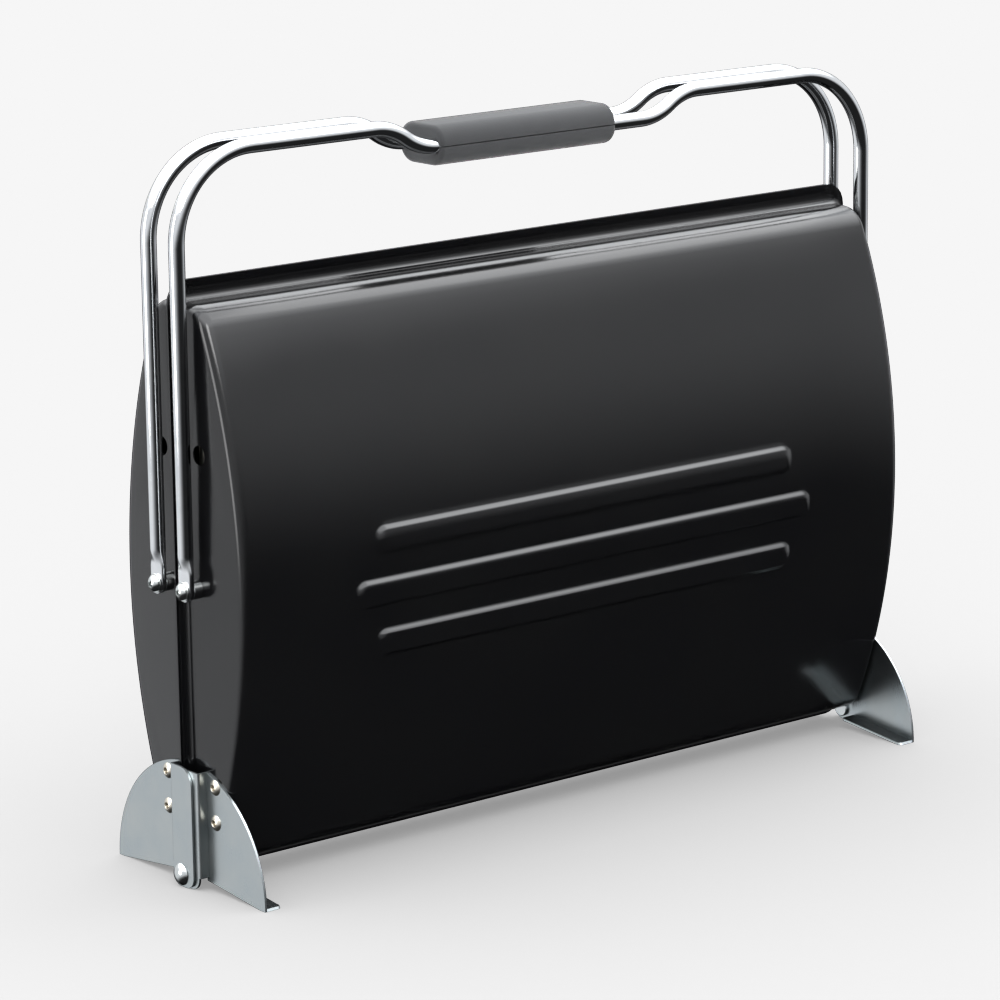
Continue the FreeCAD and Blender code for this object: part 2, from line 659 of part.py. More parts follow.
def add_handle_path(sketch):
    """Half of the handle's centre line: grip run, swan neck, upper run, corner and arm."""
    run, swan = S["grip_run"].value, S["swan_end"].value
    low, high = S["grip_height"].value, S["bar_height"].value
    side, corner = S["arm_out"].value, S["handle_round"].value
    reach, drop = swan - run, high - low
    neck = (reach * reach + drop * drop) / (4 * drop)
    turn = 2 * atan2(drop, reach)
    up = V(0, 0, 1)
    pieces = [
        Part.LineSegment(V(0, low, 0), V(run, low, 0)),
        Part.ArcOfCircle(Part.Circle(V(run, low + neck, 0), up, neck), -pi / 2, -pi / 2 + turn),
        Part.ArcOfCircle(Part.Circle(V(swan, high - neck, 0), up, neck), pi / 2, pi / 2 + turn),
        Part.LineSegment(V(swan, high, 0), V(side - corner, high, 0)),
        Part.ArcOfCircle(Part.Circle(V(side - corner, high - corner, 0), up, corner), 0, pi / 2),
        Part.LineSegment(V(side, high - corner, 0), V(side, S["arm_low"].value, 0)),
    ]
    for piece in pieces:
        sketch.addGeometry(piece, False)
    joints = [(0, END, 1, START), (1, END, 2, END), (2, START, 3, START), (3, END, 4, END),
              (4, START, 5, START)]
    for joint in joints:
        sketch.addConstraint(Sketcher.Constraint("Tangent", *joint))
    sketch.addConstraint(Sketcher.Constraint("Horizontal", 0))
    sketch.addConstraint(Sketcher.Constraint("Horizontal", 3))
    sketch.addConstraint(Sketcher.Constraint("Vertical", 5))
    sketch.addConstraint(Sketcher.Constraint("Equal", 1, 2))
    pin(sketch, 0, START, 0, S["grip_height"])
    pinned = [("DistanceX", 0, END, S["grip_run"]), ("DistanceX", 3, START, S["swan_end"]),
              ("DistanceY", 3, START, S["bar_height"]), ("DistanceX", 5, END, S["arm_out"]),
              ("DistanceY", 5, END, S["arm_low"])]
    for kind, index, point, size in pinned:
        number = sketch.addConstraint(
            Sketcher.Constraint(kind, ORIGIN, START, index, point, size.value))
        sketch.setExpression(f"Constraints[{number}]", size.text)
    number = sketch.addConstraint(Sketcher.Constraint("Radius", 4, corner))
    sketch.setExpression(f"Constraints[{number}]", S["handle_round"].text)


def add_stadium(sketch, x, y, half_wide, half_tall):
    """A slot shape that is longer along the sketch's Y than along its X."""
    straight = half_tall - half_wide
    corners = [(x - half_wide, y - straight), (x + half_wide, y - straight),
               (x + half_wide, y + straight), (x - half_wide, y + straight)]
    cx = as_size(x).value
    low, high = (y - straight).value, (y + straight).value
    add_outline(sketch, corners, {0: ((cx, low), as_size(half_wide)), 2: ((cx, high), as_size(half_wide))})


def make_handle(half):
    body = new_body(f"{half.name}_handle")
    path = new_sketch(body, "HandlePath", "XZ_Plane", S["rod_back"])
    add_handle_path(path)
    section = new_sketch(body, "WireSection", "YZ_Plane")
    add_circle(section, -S["rod_back"], S["grip_height"], S["rod"])
    doc.recompute()
    wire = body.newObject("PartDesign::AdditivePipe", "BentWire")
    wire.Profile = section
    wire.Spine = (path, [f"Edge{i}" for i in range(1, 7)])
    wire.Transition = 0
    doc.recompute()

    half_tab = S["tab_gauge"] / 2
    upper = new_sketch(body, "ArmEnd", "XY_Plane", S["arm_low"])
    add_circle(upper, S["arm_out"], -S["rod_back"], S["rod"])
    lower = new_sketch(body, "TabEnd", "XY_Plane", S["tab_top"])
    add_stadium(lower, S["tab_in"] + half_tab, -S["rod_back"], half_tab, S["tab_width"] / 2)
    neck = body.newObject("PartDesign::AdditiveLoft", "FlattenedNeck")
    neck.Profile = upper
    neck.Sections = [lower]
    doc.recompute()

    tab = new_sketch(body, "TabOutline", "YZ_Plane", S["tab_in"])
    half_width = S["tab_width"] / 2
    left, right = -S["rod_back"] - half_width, -S["rod_back"] + half_width
    centre = (-S["rod_back"].value, S["swing_height"].value)
    corners = [(left, S["tab_top"]), (left, S["swing_height"]), (right, S["swing_height"]),
               (right, S["tab_top"])]
    add_outline(tab, corners, {1: (centre, half_width)})
    tab_pad = pad(body, tab, S["tab_gauge"], "TabPad")

    hole = new_sketch(body, "TabHole", "YZ_Plane")
    add_circle(hole, -S["rod_back"], S["swing_height"], S["screw_hole"])
    hole_cut = cut_through(body, hole, "TabHoleCut")
    mirror = body.newObject("PartDesign::Mirrored", "OtherSide")
    mirror.Originals = [wire, neck, tab_pad, hole_cut]
    plane = next(item for item in body.Origin.OriginFeatures if item.Role == "YZ_Plane")
    mirror.MirrorPlane = (plane, [""])
    body.Tip = mirror
    doc.recompute()
    return keep(body, body.Label, half.placement)


def make_grip():
    """One soft grip: it is threaded on the rear wire and snaps over the front one."""
    body = new_body("handle_grip")
    section = new_sketch(body, "GripSection", "YZ_Plane", S["grip_shift"])
    half_deep, half_tall = S["grip_deep"] / 2, S["grip_tall"] / 2
    low, high = S["grip_height"] - half_tall, S["grip_height"] + half_tall
    add_box_outline(section, -half_deep, low, half_deep, high)
    pad(body, section, S["grip_long"], "GripPad", both_ways=True)
    round_edges(body, lambda edge: runs_along(edge, 0), S["grip_round"], "GripRound")
    channels = new_sketch(body, "WireChannels", "YZ_Plane")
    add_circle(channels, S["rod_back"], S["grip_height"], S["rod"] + 0.1)
    half_slot = S["grip_slot"] / 2
    deepest = -S["rod_back"]
    mouth = -half_deep - 2
    corners = [(mouth, S["grip_height"] - half_slot), (deepest, S["grip_height"] - half_slot),
               (deepest, S["grip_height"] + half_slot), (mouth, S["grip_height"] + half_slot)]
    centre = (deepest.value, S["grip_height"].value)
    add_outline(channels, corners, {1: (centre, half_slot)})
    cut_through(body, channels, "WireChannelsCut")
    return keep(body, body.Label)


# Wire grids


def rod_between(name, diameter, along, start, length):
    """A round bar along X (0) or Z (2) from a bound start point."""
    bar = doc.addObject("Part::Cylinder", name)
    bind(bar, "Radius", as_size(diameter) / 2)
    bind(bar, "Height", length)
    if along == 0:
        bar.Placement.Rotation = ALONG_X
    for axis, size in zip("xyz", start):
        bind(bar, f"Placement.Base.{axis}", size)
    return bar


def make_wire_grid(label, end, low, high, depth, bars, placement):
    """A rectangular wire frame with bars across its short side."""
    pieces = []
    for level, word in ((low, "low"), (high, "high")):
        pieces.append(rod_between(f"{label}_{word}_side", S["frame_wire"], 0,
                                  (-end, -depth, level), end * 2))
    for place, word in ((-end, "left"), (end, "right")):
        pieces.append(rod_between(f"{label}_{word}_end", S["frame_wire"], 2,
                                  (place, -depth, low), high - low))
        for level, height in (("low", low), ("high", high)):
            knot = doc.addObject("Part::Sphere", f"{label}_{word}_{level}_corner")
            bind(knot, "Radius", S["frame_wire"] / 2)
            for axis, size in zip("xyz", (place, -depth, height)):
                bind(knot, f"Placement.Base.{axis}", size)
            pieces.append(knot)
    count = int(bars.value)
    pitch = end * 2 / (bars + 1)
    bar_depth = depth - S["frame_wire"] / 2 + S["bar_wire"] / 2
    for number in range(1, count + 1):
        place = pitch * number - end
        pieces.append(rod_between(f"{label}_bar_{number}", S["bar_wire"], 2,
                                  (place, -bar_depth, low), high - low))
    keep(fuse(label, pieces), label, placement)


def make_grids(half):
    make_wire_grid(f"{half.name}_cooking_grid", S["grid_end"], S["grid_low"], S["grid_high"],
                   S["grid_back"], S["grid_bars"], half.placement)
    make_wire_grid(f"{half.name}_charcoal_grate", S["grate_end"], half.middle - S["grate_half"],
                   half.middle + S["grate_half"], S["grate_back"], S["grate_bars"], half.placement)


def make_grid_clips(half):
    """Four folded clips on the end walls; the cooking grid's end wires sit in them."""
    clips = []
    wall = S["wall_end"] - S["gauge"]
    for side, word in ((1, "right"), (-1, "left")):
        for height, level in ((S["clip_low"], "low"), (S["clip_high"], "high")):
            name = f"{half.name}_{word}_{level}_clip"
            outer = doc.addObject("Part::Box", f"{name}_blank")
            inner = doc.addObject("Part::Box", f"{name}_gap")
            for box, shrink in ((outer, as_size(0)), (inner, S["gauge"])):
                bind(box, "Length", S["clip_reach"])
                bind(box, "Width", (S["clip_half"] - shrink) * 2)
                bind(box, "Height", S["clip_width"] + shrink * 2)
                near = wall - S["clip_reach"] - shrink
                bind(box, "Placement.Base.x", near if side > 0 else -wall + shrink)
                bind(box, "Placement.Base.y", -S["grid_back"] - S["clip_half"] + shrink)
                bind(box, "Placement.Base.z", height - S["clip_width"] / 2 - shrink)
            clips.append(less(name, outer, inner))
    group(f"{half.name}_grid_clips", clips, half.placement)


def export_nodes():
    """Checks every finished sub-part and writes one STEP file for each."""
    doc.recompute()
    os.makedirs("parts", exist_ok=True)
    for node in nodes:
        if "Invalid" in node.State or "Error" in node.State:
            raise RuntimeError(f"{node.Label} did not build: {node.State}")
        if node.Shape.isNull() or not node.Shape.isValid():
            raise RuntimeError(f"{node.Label} has no valid shape")
        node.Shape.exportStep(f"parts/{node.Label}.step")


make_hinge_rivets()
make_grip()
for half in (FRONT, REAR):
    make_shell(half)
    make_legs(half)
    make_leg_rivets(half)
    make_handle_fasteners(half)
    make_handle(half)
    make_grids(half)
    make_grid_clips(half)
export_nodes()
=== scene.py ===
"""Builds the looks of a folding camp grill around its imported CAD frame."""

import json
import logging
import math
from dataclasses import dataclass, field
from enum import Enum
from typing import Any

import bmesh
import bpy
from mathutils import Matrix, Vector

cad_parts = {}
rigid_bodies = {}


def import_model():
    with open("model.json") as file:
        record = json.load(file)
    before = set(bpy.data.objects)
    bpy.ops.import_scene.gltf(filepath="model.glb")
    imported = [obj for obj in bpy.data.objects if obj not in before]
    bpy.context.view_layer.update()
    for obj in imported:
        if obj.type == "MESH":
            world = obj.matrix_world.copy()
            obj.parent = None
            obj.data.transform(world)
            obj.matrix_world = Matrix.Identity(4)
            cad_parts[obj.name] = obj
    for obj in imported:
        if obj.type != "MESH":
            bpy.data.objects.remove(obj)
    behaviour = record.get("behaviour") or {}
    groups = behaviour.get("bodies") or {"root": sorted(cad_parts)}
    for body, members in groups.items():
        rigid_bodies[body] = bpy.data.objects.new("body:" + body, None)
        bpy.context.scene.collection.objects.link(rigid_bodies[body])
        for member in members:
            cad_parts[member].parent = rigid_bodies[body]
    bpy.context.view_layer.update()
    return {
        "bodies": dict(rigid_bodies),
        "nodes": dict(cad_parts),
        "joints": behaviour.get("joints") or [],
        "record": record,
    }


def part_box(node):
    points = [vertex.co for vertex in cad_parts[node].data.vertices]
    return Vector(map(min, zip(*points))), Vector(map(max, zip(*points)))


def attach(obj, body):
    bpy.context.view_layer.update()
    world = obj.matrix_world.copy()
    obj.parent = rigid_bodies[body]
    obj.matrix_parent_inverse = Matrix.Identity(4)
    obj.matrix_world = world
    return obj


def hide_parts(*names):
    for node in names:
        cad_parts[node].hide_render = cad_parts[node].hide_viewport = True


logging.basicConfig(level=logging.INFO, format="%(message)s")
log = logging.getLogger("camp_grill")

MM = 0.001
X_AXIS = Vector((1, 0, 0))
Y_AXIS = Vector((0, 1, 0))
Z_AXIS = Vector((0, 0, 1))
ENDS = (-1, 1)  # The left and the right end, as the sign of X.
WELD = 1e-6  # Metres within which vertices are merged.
SAME = 1e-7  # Metres within which two places count as one.
DOME_STEPS = 9
TURNED_SMOOTH = 35.0  # Degrees below which a turned piece is shaded smooth.


class Side(Enum):
    """Which half tray a piece belongs to, and the sign of its Y."""

    FRONT = -1
    REAR = 1

    @property
    def word(self) -> str:
        """The half's name in the frame's node and body names."""
        return self.name.lower()


# Colours and nodes


def linear(hex_colour: str) -> tuple[float, float, float, float]:
    """Turns an sRGB hex colour into linear RGBA.

    Args:
        hex_colour: Six hex digits after a hash sign.

    Returns:
        Red, green, blue and alpha as Blender's shaders read them.
    """
    channels = [int(hex_colour[i : i + 2], 16) / 255 for i in (1, 3, 5)]
    red, green, blue = (
        c / 12.92 if c <= 0.04045 else ((c + 0.055) / 1.055) ** 2.4 for c in channels
    )
    return red, green, blue, 1.0


def per_metre(size_mm: float) -> float:
    """The texture scale at which one cell of a pattern is size_mm across."""
    return 1.0 / (size_mm * MM)


def add_node(
    tree: bpy.types.NodeTree,
    kind: str,
    inputs: dict[str | int, Any] | None = None,
    **settings: Any,
) -> bpy.types.Node:
    """Adds a node with its settings and links.

    Args:
        tree: The node tree that gets the node.
        kind: The node's type name.
        inputs: Socket name or number to a value, or to the output socket that feeds it.
        settings: Properties of the node itself.

    Returns:
        The new node.
    """
    node = tree.nodes.new(kind)
    for name, value in settings.items():
        setattr(node, name, value)
    for socket, value in (inputs or {}).items():
        if isinstance(value, bpy.types.NodeSocket):
            tree.links.new(value, node.inputs[socket])
        else:
            node.inputs[socket].default_value = value
    return node


# Finishes


@dataclass(frozen=True)
class Finish:
    """What every finish shares: a name, a colour, a roughness and how far that varies."""

    name: str
    colour: str
    roughness: float
    gloss_range: tuple[float, float] = (0.8, 1.3)

    def start(
        self,
    ) -> tuple[bpy.types.Material, bpy.types.NodeTree, bpy.types.Node, bpy.types.NodeSocket]:
        """Makes an empty material with a shader.

        Returns:
            The material, its tree, its Principled shader and the Object coordinates.
        """
        material = bpy.data.materials.new(self.name)
        material.use_nodes = True
        tree = material.node_tree
        shader = tree.nodes["Principled BSDF"]
        shader.inputs["Base Color"].default_value = linear(self.colour)
        shader.inputs["Roughness"].default_value = self.roughness
        place = add_node(tree, "ShaderNodeTexCoord").outputs["Object"]
        return material, tree, shader, place

    def two_tones(
        self, tree: bpy.types.NodeTree, factor: bpy.types.NodeSocket, first: str, second: str
    ) -> bpy.types.NodeSocket:
        """Blends two colours by a factor.

        Args:
            tree: The material's tree.
            factor: The socket that says how much of the second colour shows.
            first: The hex colour at 0.
            second: The hex colour at 1.

        Returns:
            The colour socket.
        """
        ramp = add_node(tree, "ShaderNodeValToRGB", {0: factor})
        ramp.color_ramp.elements[0].color = linear(first)
        ramp.color_ramp.elements[1].color = linear(second)
        return ramp.outputs["Color"]

    def uneven_gloss(
        self, tree: bpy.types.NodeTree, factor: bpy.types.NodeSocket
    ) -> bpy.types.NodeSocket:
        """Varies the finish's roughness over its range.

        Args:
            tree: The material's tree.
            factor: The socket that goes from 0 at the smoothest to 1 at the roughest.

        Returns:
            The roughness socket.
        """
        low, high = (self.roughness * share for share in self.gloss_range)
        ranged = add_node(
            tree, "ShaderNodeMapRange", {"Value": factor, "To Min": low, "To Max": high}
        )
        return ranged.outputs["Result"]


@dataclass(frozen=True)
class VitreousEnamel(Finish):
    """Black vitreous enamel, sprayed and fired on pressed steel: deep gloss, faint orange peel."""

    deep: str = "#020203"
    warm: str = "#050505"
    peel_mm: float = 3.2
    cloud_mm: float = 55.0

    def make(self) -> bpy.types.Material:
        """Builds the material.

        Returns:
            The material.
        """
        material, tree, shader, place = self.start()
        shader.inputs["IOR"].default_value = 1.46
        cloud = add_node(
            tree,
            "ShaderNodeTexNoise",
            {"Vector": place, "Scale": per_metre(self.cloud_mm), "Detail": 4.0, "Roughness": 0.6},
        )
        # Firing leaves slow changes in gloss and a slightly warmer black.
        tone = self.two_tones(tree, cloud.outputs["Fac"], self.deep, self.warm)
        gloss = self.uneven_gloss(tree, cloud.outputs["Fac"])
        tree.links.new(tone, shader.inputs["Base Color"])
        tree.links.new(gloss, shader.inputs["Roughness"])
        # Orange peel: waves a few millimetres long and a few microns high.
        peel = add_node(
            tree,
            "ShaderNodeTexNoise",
            {"Vector": place, "Scale": per_metre(self.peel_mm), "Detail": 1.0},
        )
        bump = add_node(
            tree,
            "ShaderNodeBump",
            {"Height": peel.outputs["Fac"], "Strength": 0.35, "Distance": 0.012 * MM},
        )
        tree.links.new(bump.outputs["Normal"], shader.inputs["Normal"])
        return material


@dataclass(frozen=True)
class PlatedWire(Finish):
    """Chrome or nickel plate on drawn steel wire: gloss over the die's faint marks."""

    gloss_range: tuple[float, float] = (0.7, 1.4)
    dull: str = "#C2C5C8"
    clean: str = "#E2E3E4"
    haze_mm: float = 14.0
    mark_mm: float = 0.8

    def make(self) -> bpy.types.Material:
        """Builds the material.

        Returns:
            The material.
        """
        material, tree, shader, place = self.start()
        shader.inputs["Metallic"].default_value = 1.0
        haze = add_node(
            tree,
            "ShaderNodeTexNoise",
            {"Vector": place, "Scale": per_metre(self.haze_mm), "Detail": 3.0},
        )
        tone = self.two_tones(tree, haze.outputs["Fac"], self.dull, self.clean)
        tree.links.new(tone, shader.inputs["Base Color"])
        gloss = self.uneven_gloss(tree, haze.outputs["Fac"])
        tree.links.new(gloss, shader.inputs["Roughness"])
        # Drawn wire keeps the die's faint waviness under the plate.
        marks = add_node(
            tree,
            "ShaderNodeTexNoise",
            {"Vector": place, "Scale": per_metre(self.mark_mm), "Detail": 2.0},
        )
        bump = add_node(
            tree,
            "ShaderNodeBump",
            {"Height": marks.outputs["Fac"], "Strength": 0.2, "Distance": 0.006 * MM},
        )
        tree.links.new(bump.outputs["Normal"], shader.inputs["Normal"])
        return material


@dataclass(frozen=True)
class SatinSteel(Finish):
    """Zinc-plated or plain steel sheet and heads: a satin metal with faint rolling marks."""

    gloss_range: tuple[float, float] = (0.8, 1.6)
    warm: str = "#AEB1AF"
    cloud_mm: float = 22.0
    grain_mm: float = 0.7
    grain_stretch: float = 14.0

    def make(self) -> bpy.types.Material:
        """Builds the material.

        Returns:
            The material.
        """
        material, tree, shader, place = self.start()
        shader.inputs["Metallic"].default_value = 1.0
        cloud = add_node(
            tree,
            "ShaderNodeTexNoise",
            {"Vector": place, "Scale": per_metre(self.cloud_mm), "Detail": 5.0, "Roughness": 0.55},
        )
        tone = self.two_tones(tree, cloud.outputs["Fac"], self.colour, self.warm)
        tree.links.new(tone, shader.inputs["Base Color"])
        # Rolling marks run along the sheet; they are drawn coarser than real to show.
        stretch = add_node(
            tree,
            "ShaderNodeMapping",
            {"Vector": place, "Scale": Vector((1.0, 1.0, 1.0 / self.grain_stretch))},
        )
        grain = add_node(
            tree,
            "ShaderNodeTexNoise",
            {"Vector": stretch.outputs["Vector"], "Scale": per_metre(self.grain_mm), "Detail": 3.0},
        )
        mixed = add_node(
            tree,
            "ShaderNodeMath",
            {0: grain.outputs["Fac"], 1: cloud.outputs["Fac"]},
            operation="MULTIPLY",
        )
        gloss = self.uneven_gloss(tree, mixed.outputs["Value"])
        tree.links.new(gloss, shader.inputs["Roughness"])
        bump = add_node(
            tree,
            "ShaderNodeBump",
            {"Height": grain.outputs["Fac"], "Strength": 0.15, "Distance": 0.012 * MM},
        )
        tree.links.new(bump.outputs["Normal"], shader.inputs["Normal"])
        return material


@dataclass(frozen=True)
class RubberFoam(Finish):
    """Closed-cell rubber foam with a moulded skin: matt grey, fine cells."""

    skin: str = "#151618"
    cell_mm: float = 0.9
    mottle_mm: float = 9.0

    def make(self) -> bpy.types.Material:
        """Builds the material.

        Returns:
            The material.
        """
        material, tree, shader, place = self.start()
        shader.inputs["Sheen Weight"].default_value = 0.08
        shader.inputs["Sheen Roughness"].default_value = 0.5
        mottle = add_node(
            tree,
            "ShaderNodeTexNoise",
            {"Vector": place, "Scale": per_metre(self.mottle_mm), "Detail": 4.0},
        )
        tone = self.two_tones(tree, mottle.outputs["Fac"], self.colour, self.skin)
        tree.links.new(tone, shader.inputs["Base Color"])
        # The cells are drawn a little coarser than real ones so that they show.
        cells = add_node(
            tree, "ShaderNodeTexVoronoi", {"Vector": place, "Scale": per_metre(self.cell_mm)}
        )
        bump = add_node(
            tree,
            "ShaderNodeBump",
            {"Height": cells.outputs["Distance"], "Strength": 0.5, "Distance": 0.06 * MM},
        )
        tree.links.new(bump.outputs["Normal"], shader.inputs["Normal"])
        return material


class Finishes:
    """The grill's materials, made once and shared by its pieces."""

    def __init__(self) -> None:
        """Builds each finish."""
        # Fired glass on steel: deep black with soft, slightly rippled reflections.
        self.enamel = VitreousEnamel("black_vitreous_enamel", "#040404", 0.16).make()
        # Chrome over drawn wire: a mirror that splits into clear light and dark lines.
        self.chrome = PlatedWire("chromed_steel_wire", "#DDDFE1", 0.07).make()
        # Zinc with a blue passivation: a cool, satin grey with faint rolling marks.
        self.zinc = SatinSteel("blue_zinc_plated_sheet", "#98A2A7", 0.3).make()
        # Plain steel: a warmer, yellower shine than the plates round it.
        self.rivet = SatinSteel("plain_steel_rivets", "#B5AFA3", 0.3, warm="#CFC9BD").make()
        # Zinc on turned and headed steel: brighter and smoother than the sheet.
        self.fastener = SatinSteel("zinc_plated_screws", "#B4BABE", 0.2, warm="#CFD0CC").make()
        # Nickel over thin wire, dulled by heat: a soft, warm grey shine.
        self.grid = PlatedWire(
            "nickel_plated_grid_wire", "#8C8982", 0.28, dull="#7C7973", clean="#98948C"
        ).make()
        # Closed cells under a moulded skin: matt dark grey that takes the light softly.
        self.foam = RubberFoam("closed_cell_rubber_foam", "#0D0E10", 0.85).make()


# Mesh helpers


def mark_sharp(bm: bmesh.types.BMesh, smooth_below: float) -> None:
    """Shades a mesh smooth except over its sharp edges.

    Args:
        bm: The mesh.
        smooth_below: Edges that turn less than this, in degrees, are shaded smooth.
    """
    limit = math.radians(smooth_below)
    for face in bm.faces:
        face.smooth = True
    for edge in bm.edges:
        edge.smooth = len(edge.link_faces) == 2 and edge.calc_face_angle(0.0) < limit


def finished_object(
    bm: bmesh.types.BMesh, name: str, smooth_below: float = TURNED_SMOOTH
) -> bpy.types.Object:
    """Turns a bmesh into an object at the origin, smooth except over sharp edges.

    Args:
        bm: The finished bmesh, which is freed.
        name: The object's name.
        smooth_below: Edges that turn less than this, in degrees, are shaded smooth.

    Returns:
        The object, linked to the scene.
    """
    mark_sharp(bm, smooth_below)
    mesh = bpy.data.meshes.new(name)
    bm.to_mesh(mesh)
    bm.free()
    piece = bpy.data.objects.new(name, mesh)
    bpy.context.scene.collection.objects.link(piece)
    return piece


def apply_modifiers(piece: bpy.types.Object) -> None:
    """Bakes a piece's modifiers into its mesh.

    Args:
        piece: The piece.
    """
    graph = bpy.context.evaluated_depsgraph_get()
    mesh = bpy.data.meshes.new_from_object(piece.evaluated_get(graph))
    piece.modifiers.clear()
    piece.data = mesh


def cut_with(piece: bpy.types.Object, cutter: bmesh.types.BMesh) -> None:
    """Cuts a closed shape out of a piece.

    Args:
        piece: The piece that is cut.
        cutter: The closed shape, which is freed.
    """
    mesh = bpy.data.meshes.new("cutter")
    cutter.to_mesh(mesh)
    cutter.free()
    tool = bpy.data.objects.new("cutter", mesh)
    bpy.context.scene.collection.objects.link(tool)
    modifier = piece.modifiers.new("cut", "BOOLEAN")
    modifier.operation = "DIFFERENCE"
    modifier.solver = "EXACT"
    modifier.object = tool
    apply_modifiers(piece)
    bpy.data.objects.remove(tool)


def add_cylinder(
    bm: bmesh.types.BMesh, radius: float, start: Vector, end: Vector, segments: int = 48
) -> None:
    """Adds a closed cylinder to a mesh.

    Args:
        bm: The mesh.
        radius: The cylinder's radius.
        start: The middle of its first end.
        end: The middle of its second end.
        segments: Its sides.
    """
    run = end - start
    turn = Z_AXIS.rotation_difference(run.normalized()).to_matrix().to_4x4()
    bmesh.ops.create_cone(
        bm,
        cap_ends=True,
        segments=segments,
        radius1=radius,
        radius2=radius,
        depth=run.length,
        matrix=Matrix.Translation((start + end) / 2) @ turn,
    )


def add_turned(
    bm: bmesh.types.BMesh,
    profile: list[tuple[float, float]],
    sign: int,
    place: tuple[float, float],
    steps: int = 40,
) -> None:
    """Turns a profile round an axis along X.

    Args:
        bm: The mesh that gets the turned shape.
        profile: Distance from the middle along X and radius, from the outer pole to the inner one.
        sign: 1 for the right side, -1 for the left side.
        place: The axis's Y and Z.
        steps: Divisions of the full turn.
    """
    verts = [bm.verts.new((sign * x, place[0] + radius, place[1])) for x, radius in profile]
    edges = [bm.edges.new(pair) for pair in zip(verts, verts[1:])]
    bmesh.ops.spin(
        bm,
        geom=[*verts, *edges],
        cent=(0, *place),
        axis=X_AXIS,
        angle=math.tau,
        steps=steps,
        use_merge=True,
    )


def dome_profile(
    face: float, radius: float, rise: float, hole: float = 0.0
) -> list[tuple[float, float]]:
    """A low dome's profile from its hole or crown out to its rim.

    Args:
        face: The plane that the dome stands on, from the middle.
        radius: The dome's rim.
        rise: The height of its crown.
        hole: The radius of a hole in the crown.

    Returns:
        Pairs of distance from the middle and radius.
    """
    ball = (radius * radius + rise * rise) / (2 * rise)
    widest, narrowest = math.asin(radius / ball), math.asin(hole / ball)
    spread = widest - narrowest
    angles = [narrowest + spread * step / DOME_STEPS for step in range(DOME_STEPS + 1)]
    return [(face + rise - ball + ball * math.cos(a), ball * math.sin(a)) for a in angles]


def finish_turned(bm: bmesh.types.BMesh, name: str) -> bpy.types.Object:
    """Closes the poles of turned shapes, points their faces outward and makes the object.

    Args:
        bm: The turned shapes, which are freed.
        name: The object's name.

    Returns:
        The object.
    """
    bmesh.ops.remove_doubles(bm, verts=bm.verts, dist=SAME)
    bmesh.ops.dissolve_degenerate(bm, edges=bm.edges, dist=SAME)
    bmesh.ops.recalc_face_normals(bm, faces=bm.faces)
    return finished_object(bm, name)


def shade_by_angle(piece: bpy.types.Object, smooth_below: float) -> None:
    """Shades a finished piece smooth except over its sharp edges.

    Args:
        piece: The piece.
        smooth_below: Edges that turn less than this, in degrees, are shaded smooth.
    """
    bm = bmesh.new()
    bm.from_mesh(piece.data)
    mark_sharp(bm, smooth_below)
    bm.to_mesh(piece.data)
    bm.free()


def round_edges(
    bm: bmesh.types.BMesh,
    edges: list[bmesh.types.BMEdge],
    radius: float,
    segments: int,
    clamp: bool = False,
) -> None:
    """Rounds edges of a mesh.

    Args:
        bm: The mesh.
        edges: The edges that are rounded.
        radius: The rounding's width on each side of an edge.
        segments: The faces across the rounding.
        clamp: Whether the rounding stops where it would overlap.
    """
    bmesh.ops.bevel(
        bm,
        geom=edges,
        offset=radius,
        offset_type="OFFSET",
        segments=segments,
        profile=0.5,
        affect="EDGES",
        material=-1,
        clamp_overlap=clamp,
    )


def extrude_run(
    bm: bmesh.types.BMesh, edges: list[bmesh.types.BMEdge]
) -> tuple[list[bmesh.types.BMVert], list[bmesh.types.BMEdge]]:
    """Extrudes a run of edges in place.

    Args:
        bm: The mesh that holds the edges.
        edges: The run's edges.

    Returns:
        The vertices and the edges of the run's copy.
    """
    made = bmesh.ops.extrude_edge_only(bm, edges=edges)["geom"]
    verts = [g for g in made if isinstance(g, bmesh.types.BMVert)]
    new = set(verts)
    copies = [g for g in made if isinstance(g, bmesh.types.BMEdge) and new.issuperset(g.verts)]
    return verts, copies


def carry_over(
    values: dict[bmesh.types.BMVert, Any], verts: list[bmesh.types.BMVert]
) -> dict[bmesh.types.BMVert, Any]:
    """Hands each extruded vertex the value of the vertex that it came from.

    Args:
        values: The old vertices' values.
        verts: The new vertices.

    Returns:
        The new vertices' values.
    """
    carried = {}
    for vert in verts:
        near = (edge.other_vert(vert) for edge in vert.link_edges)
        carried[vert] = values[next(v for v in near if v in values)]
    return carried


def dress(piece: bpy.types.Object, material: bpy.types.Material) -> None:
    """Gives a whole piece one material.

    Args:
        piece: The piece.
        material: Its finish.
    """
    piece.data.materials.clear()
    piece.data.materials.append(material)
    for polygon in piece.data.polygons:
        polygon.material_index = 0


def dress_node(node: bpy.types.Object, material: bpy.types.Material) -> None:
    """Puts a material in every slot of a CAD node and leaves its mesh alone.

    Args:
        node: The CAD node's object.
        material: Its finish.
    """
    if not node.material_slots:
        node.data.materials.append(material)
    for slot in node.material_slots:
        slot.material = material


# The half trays


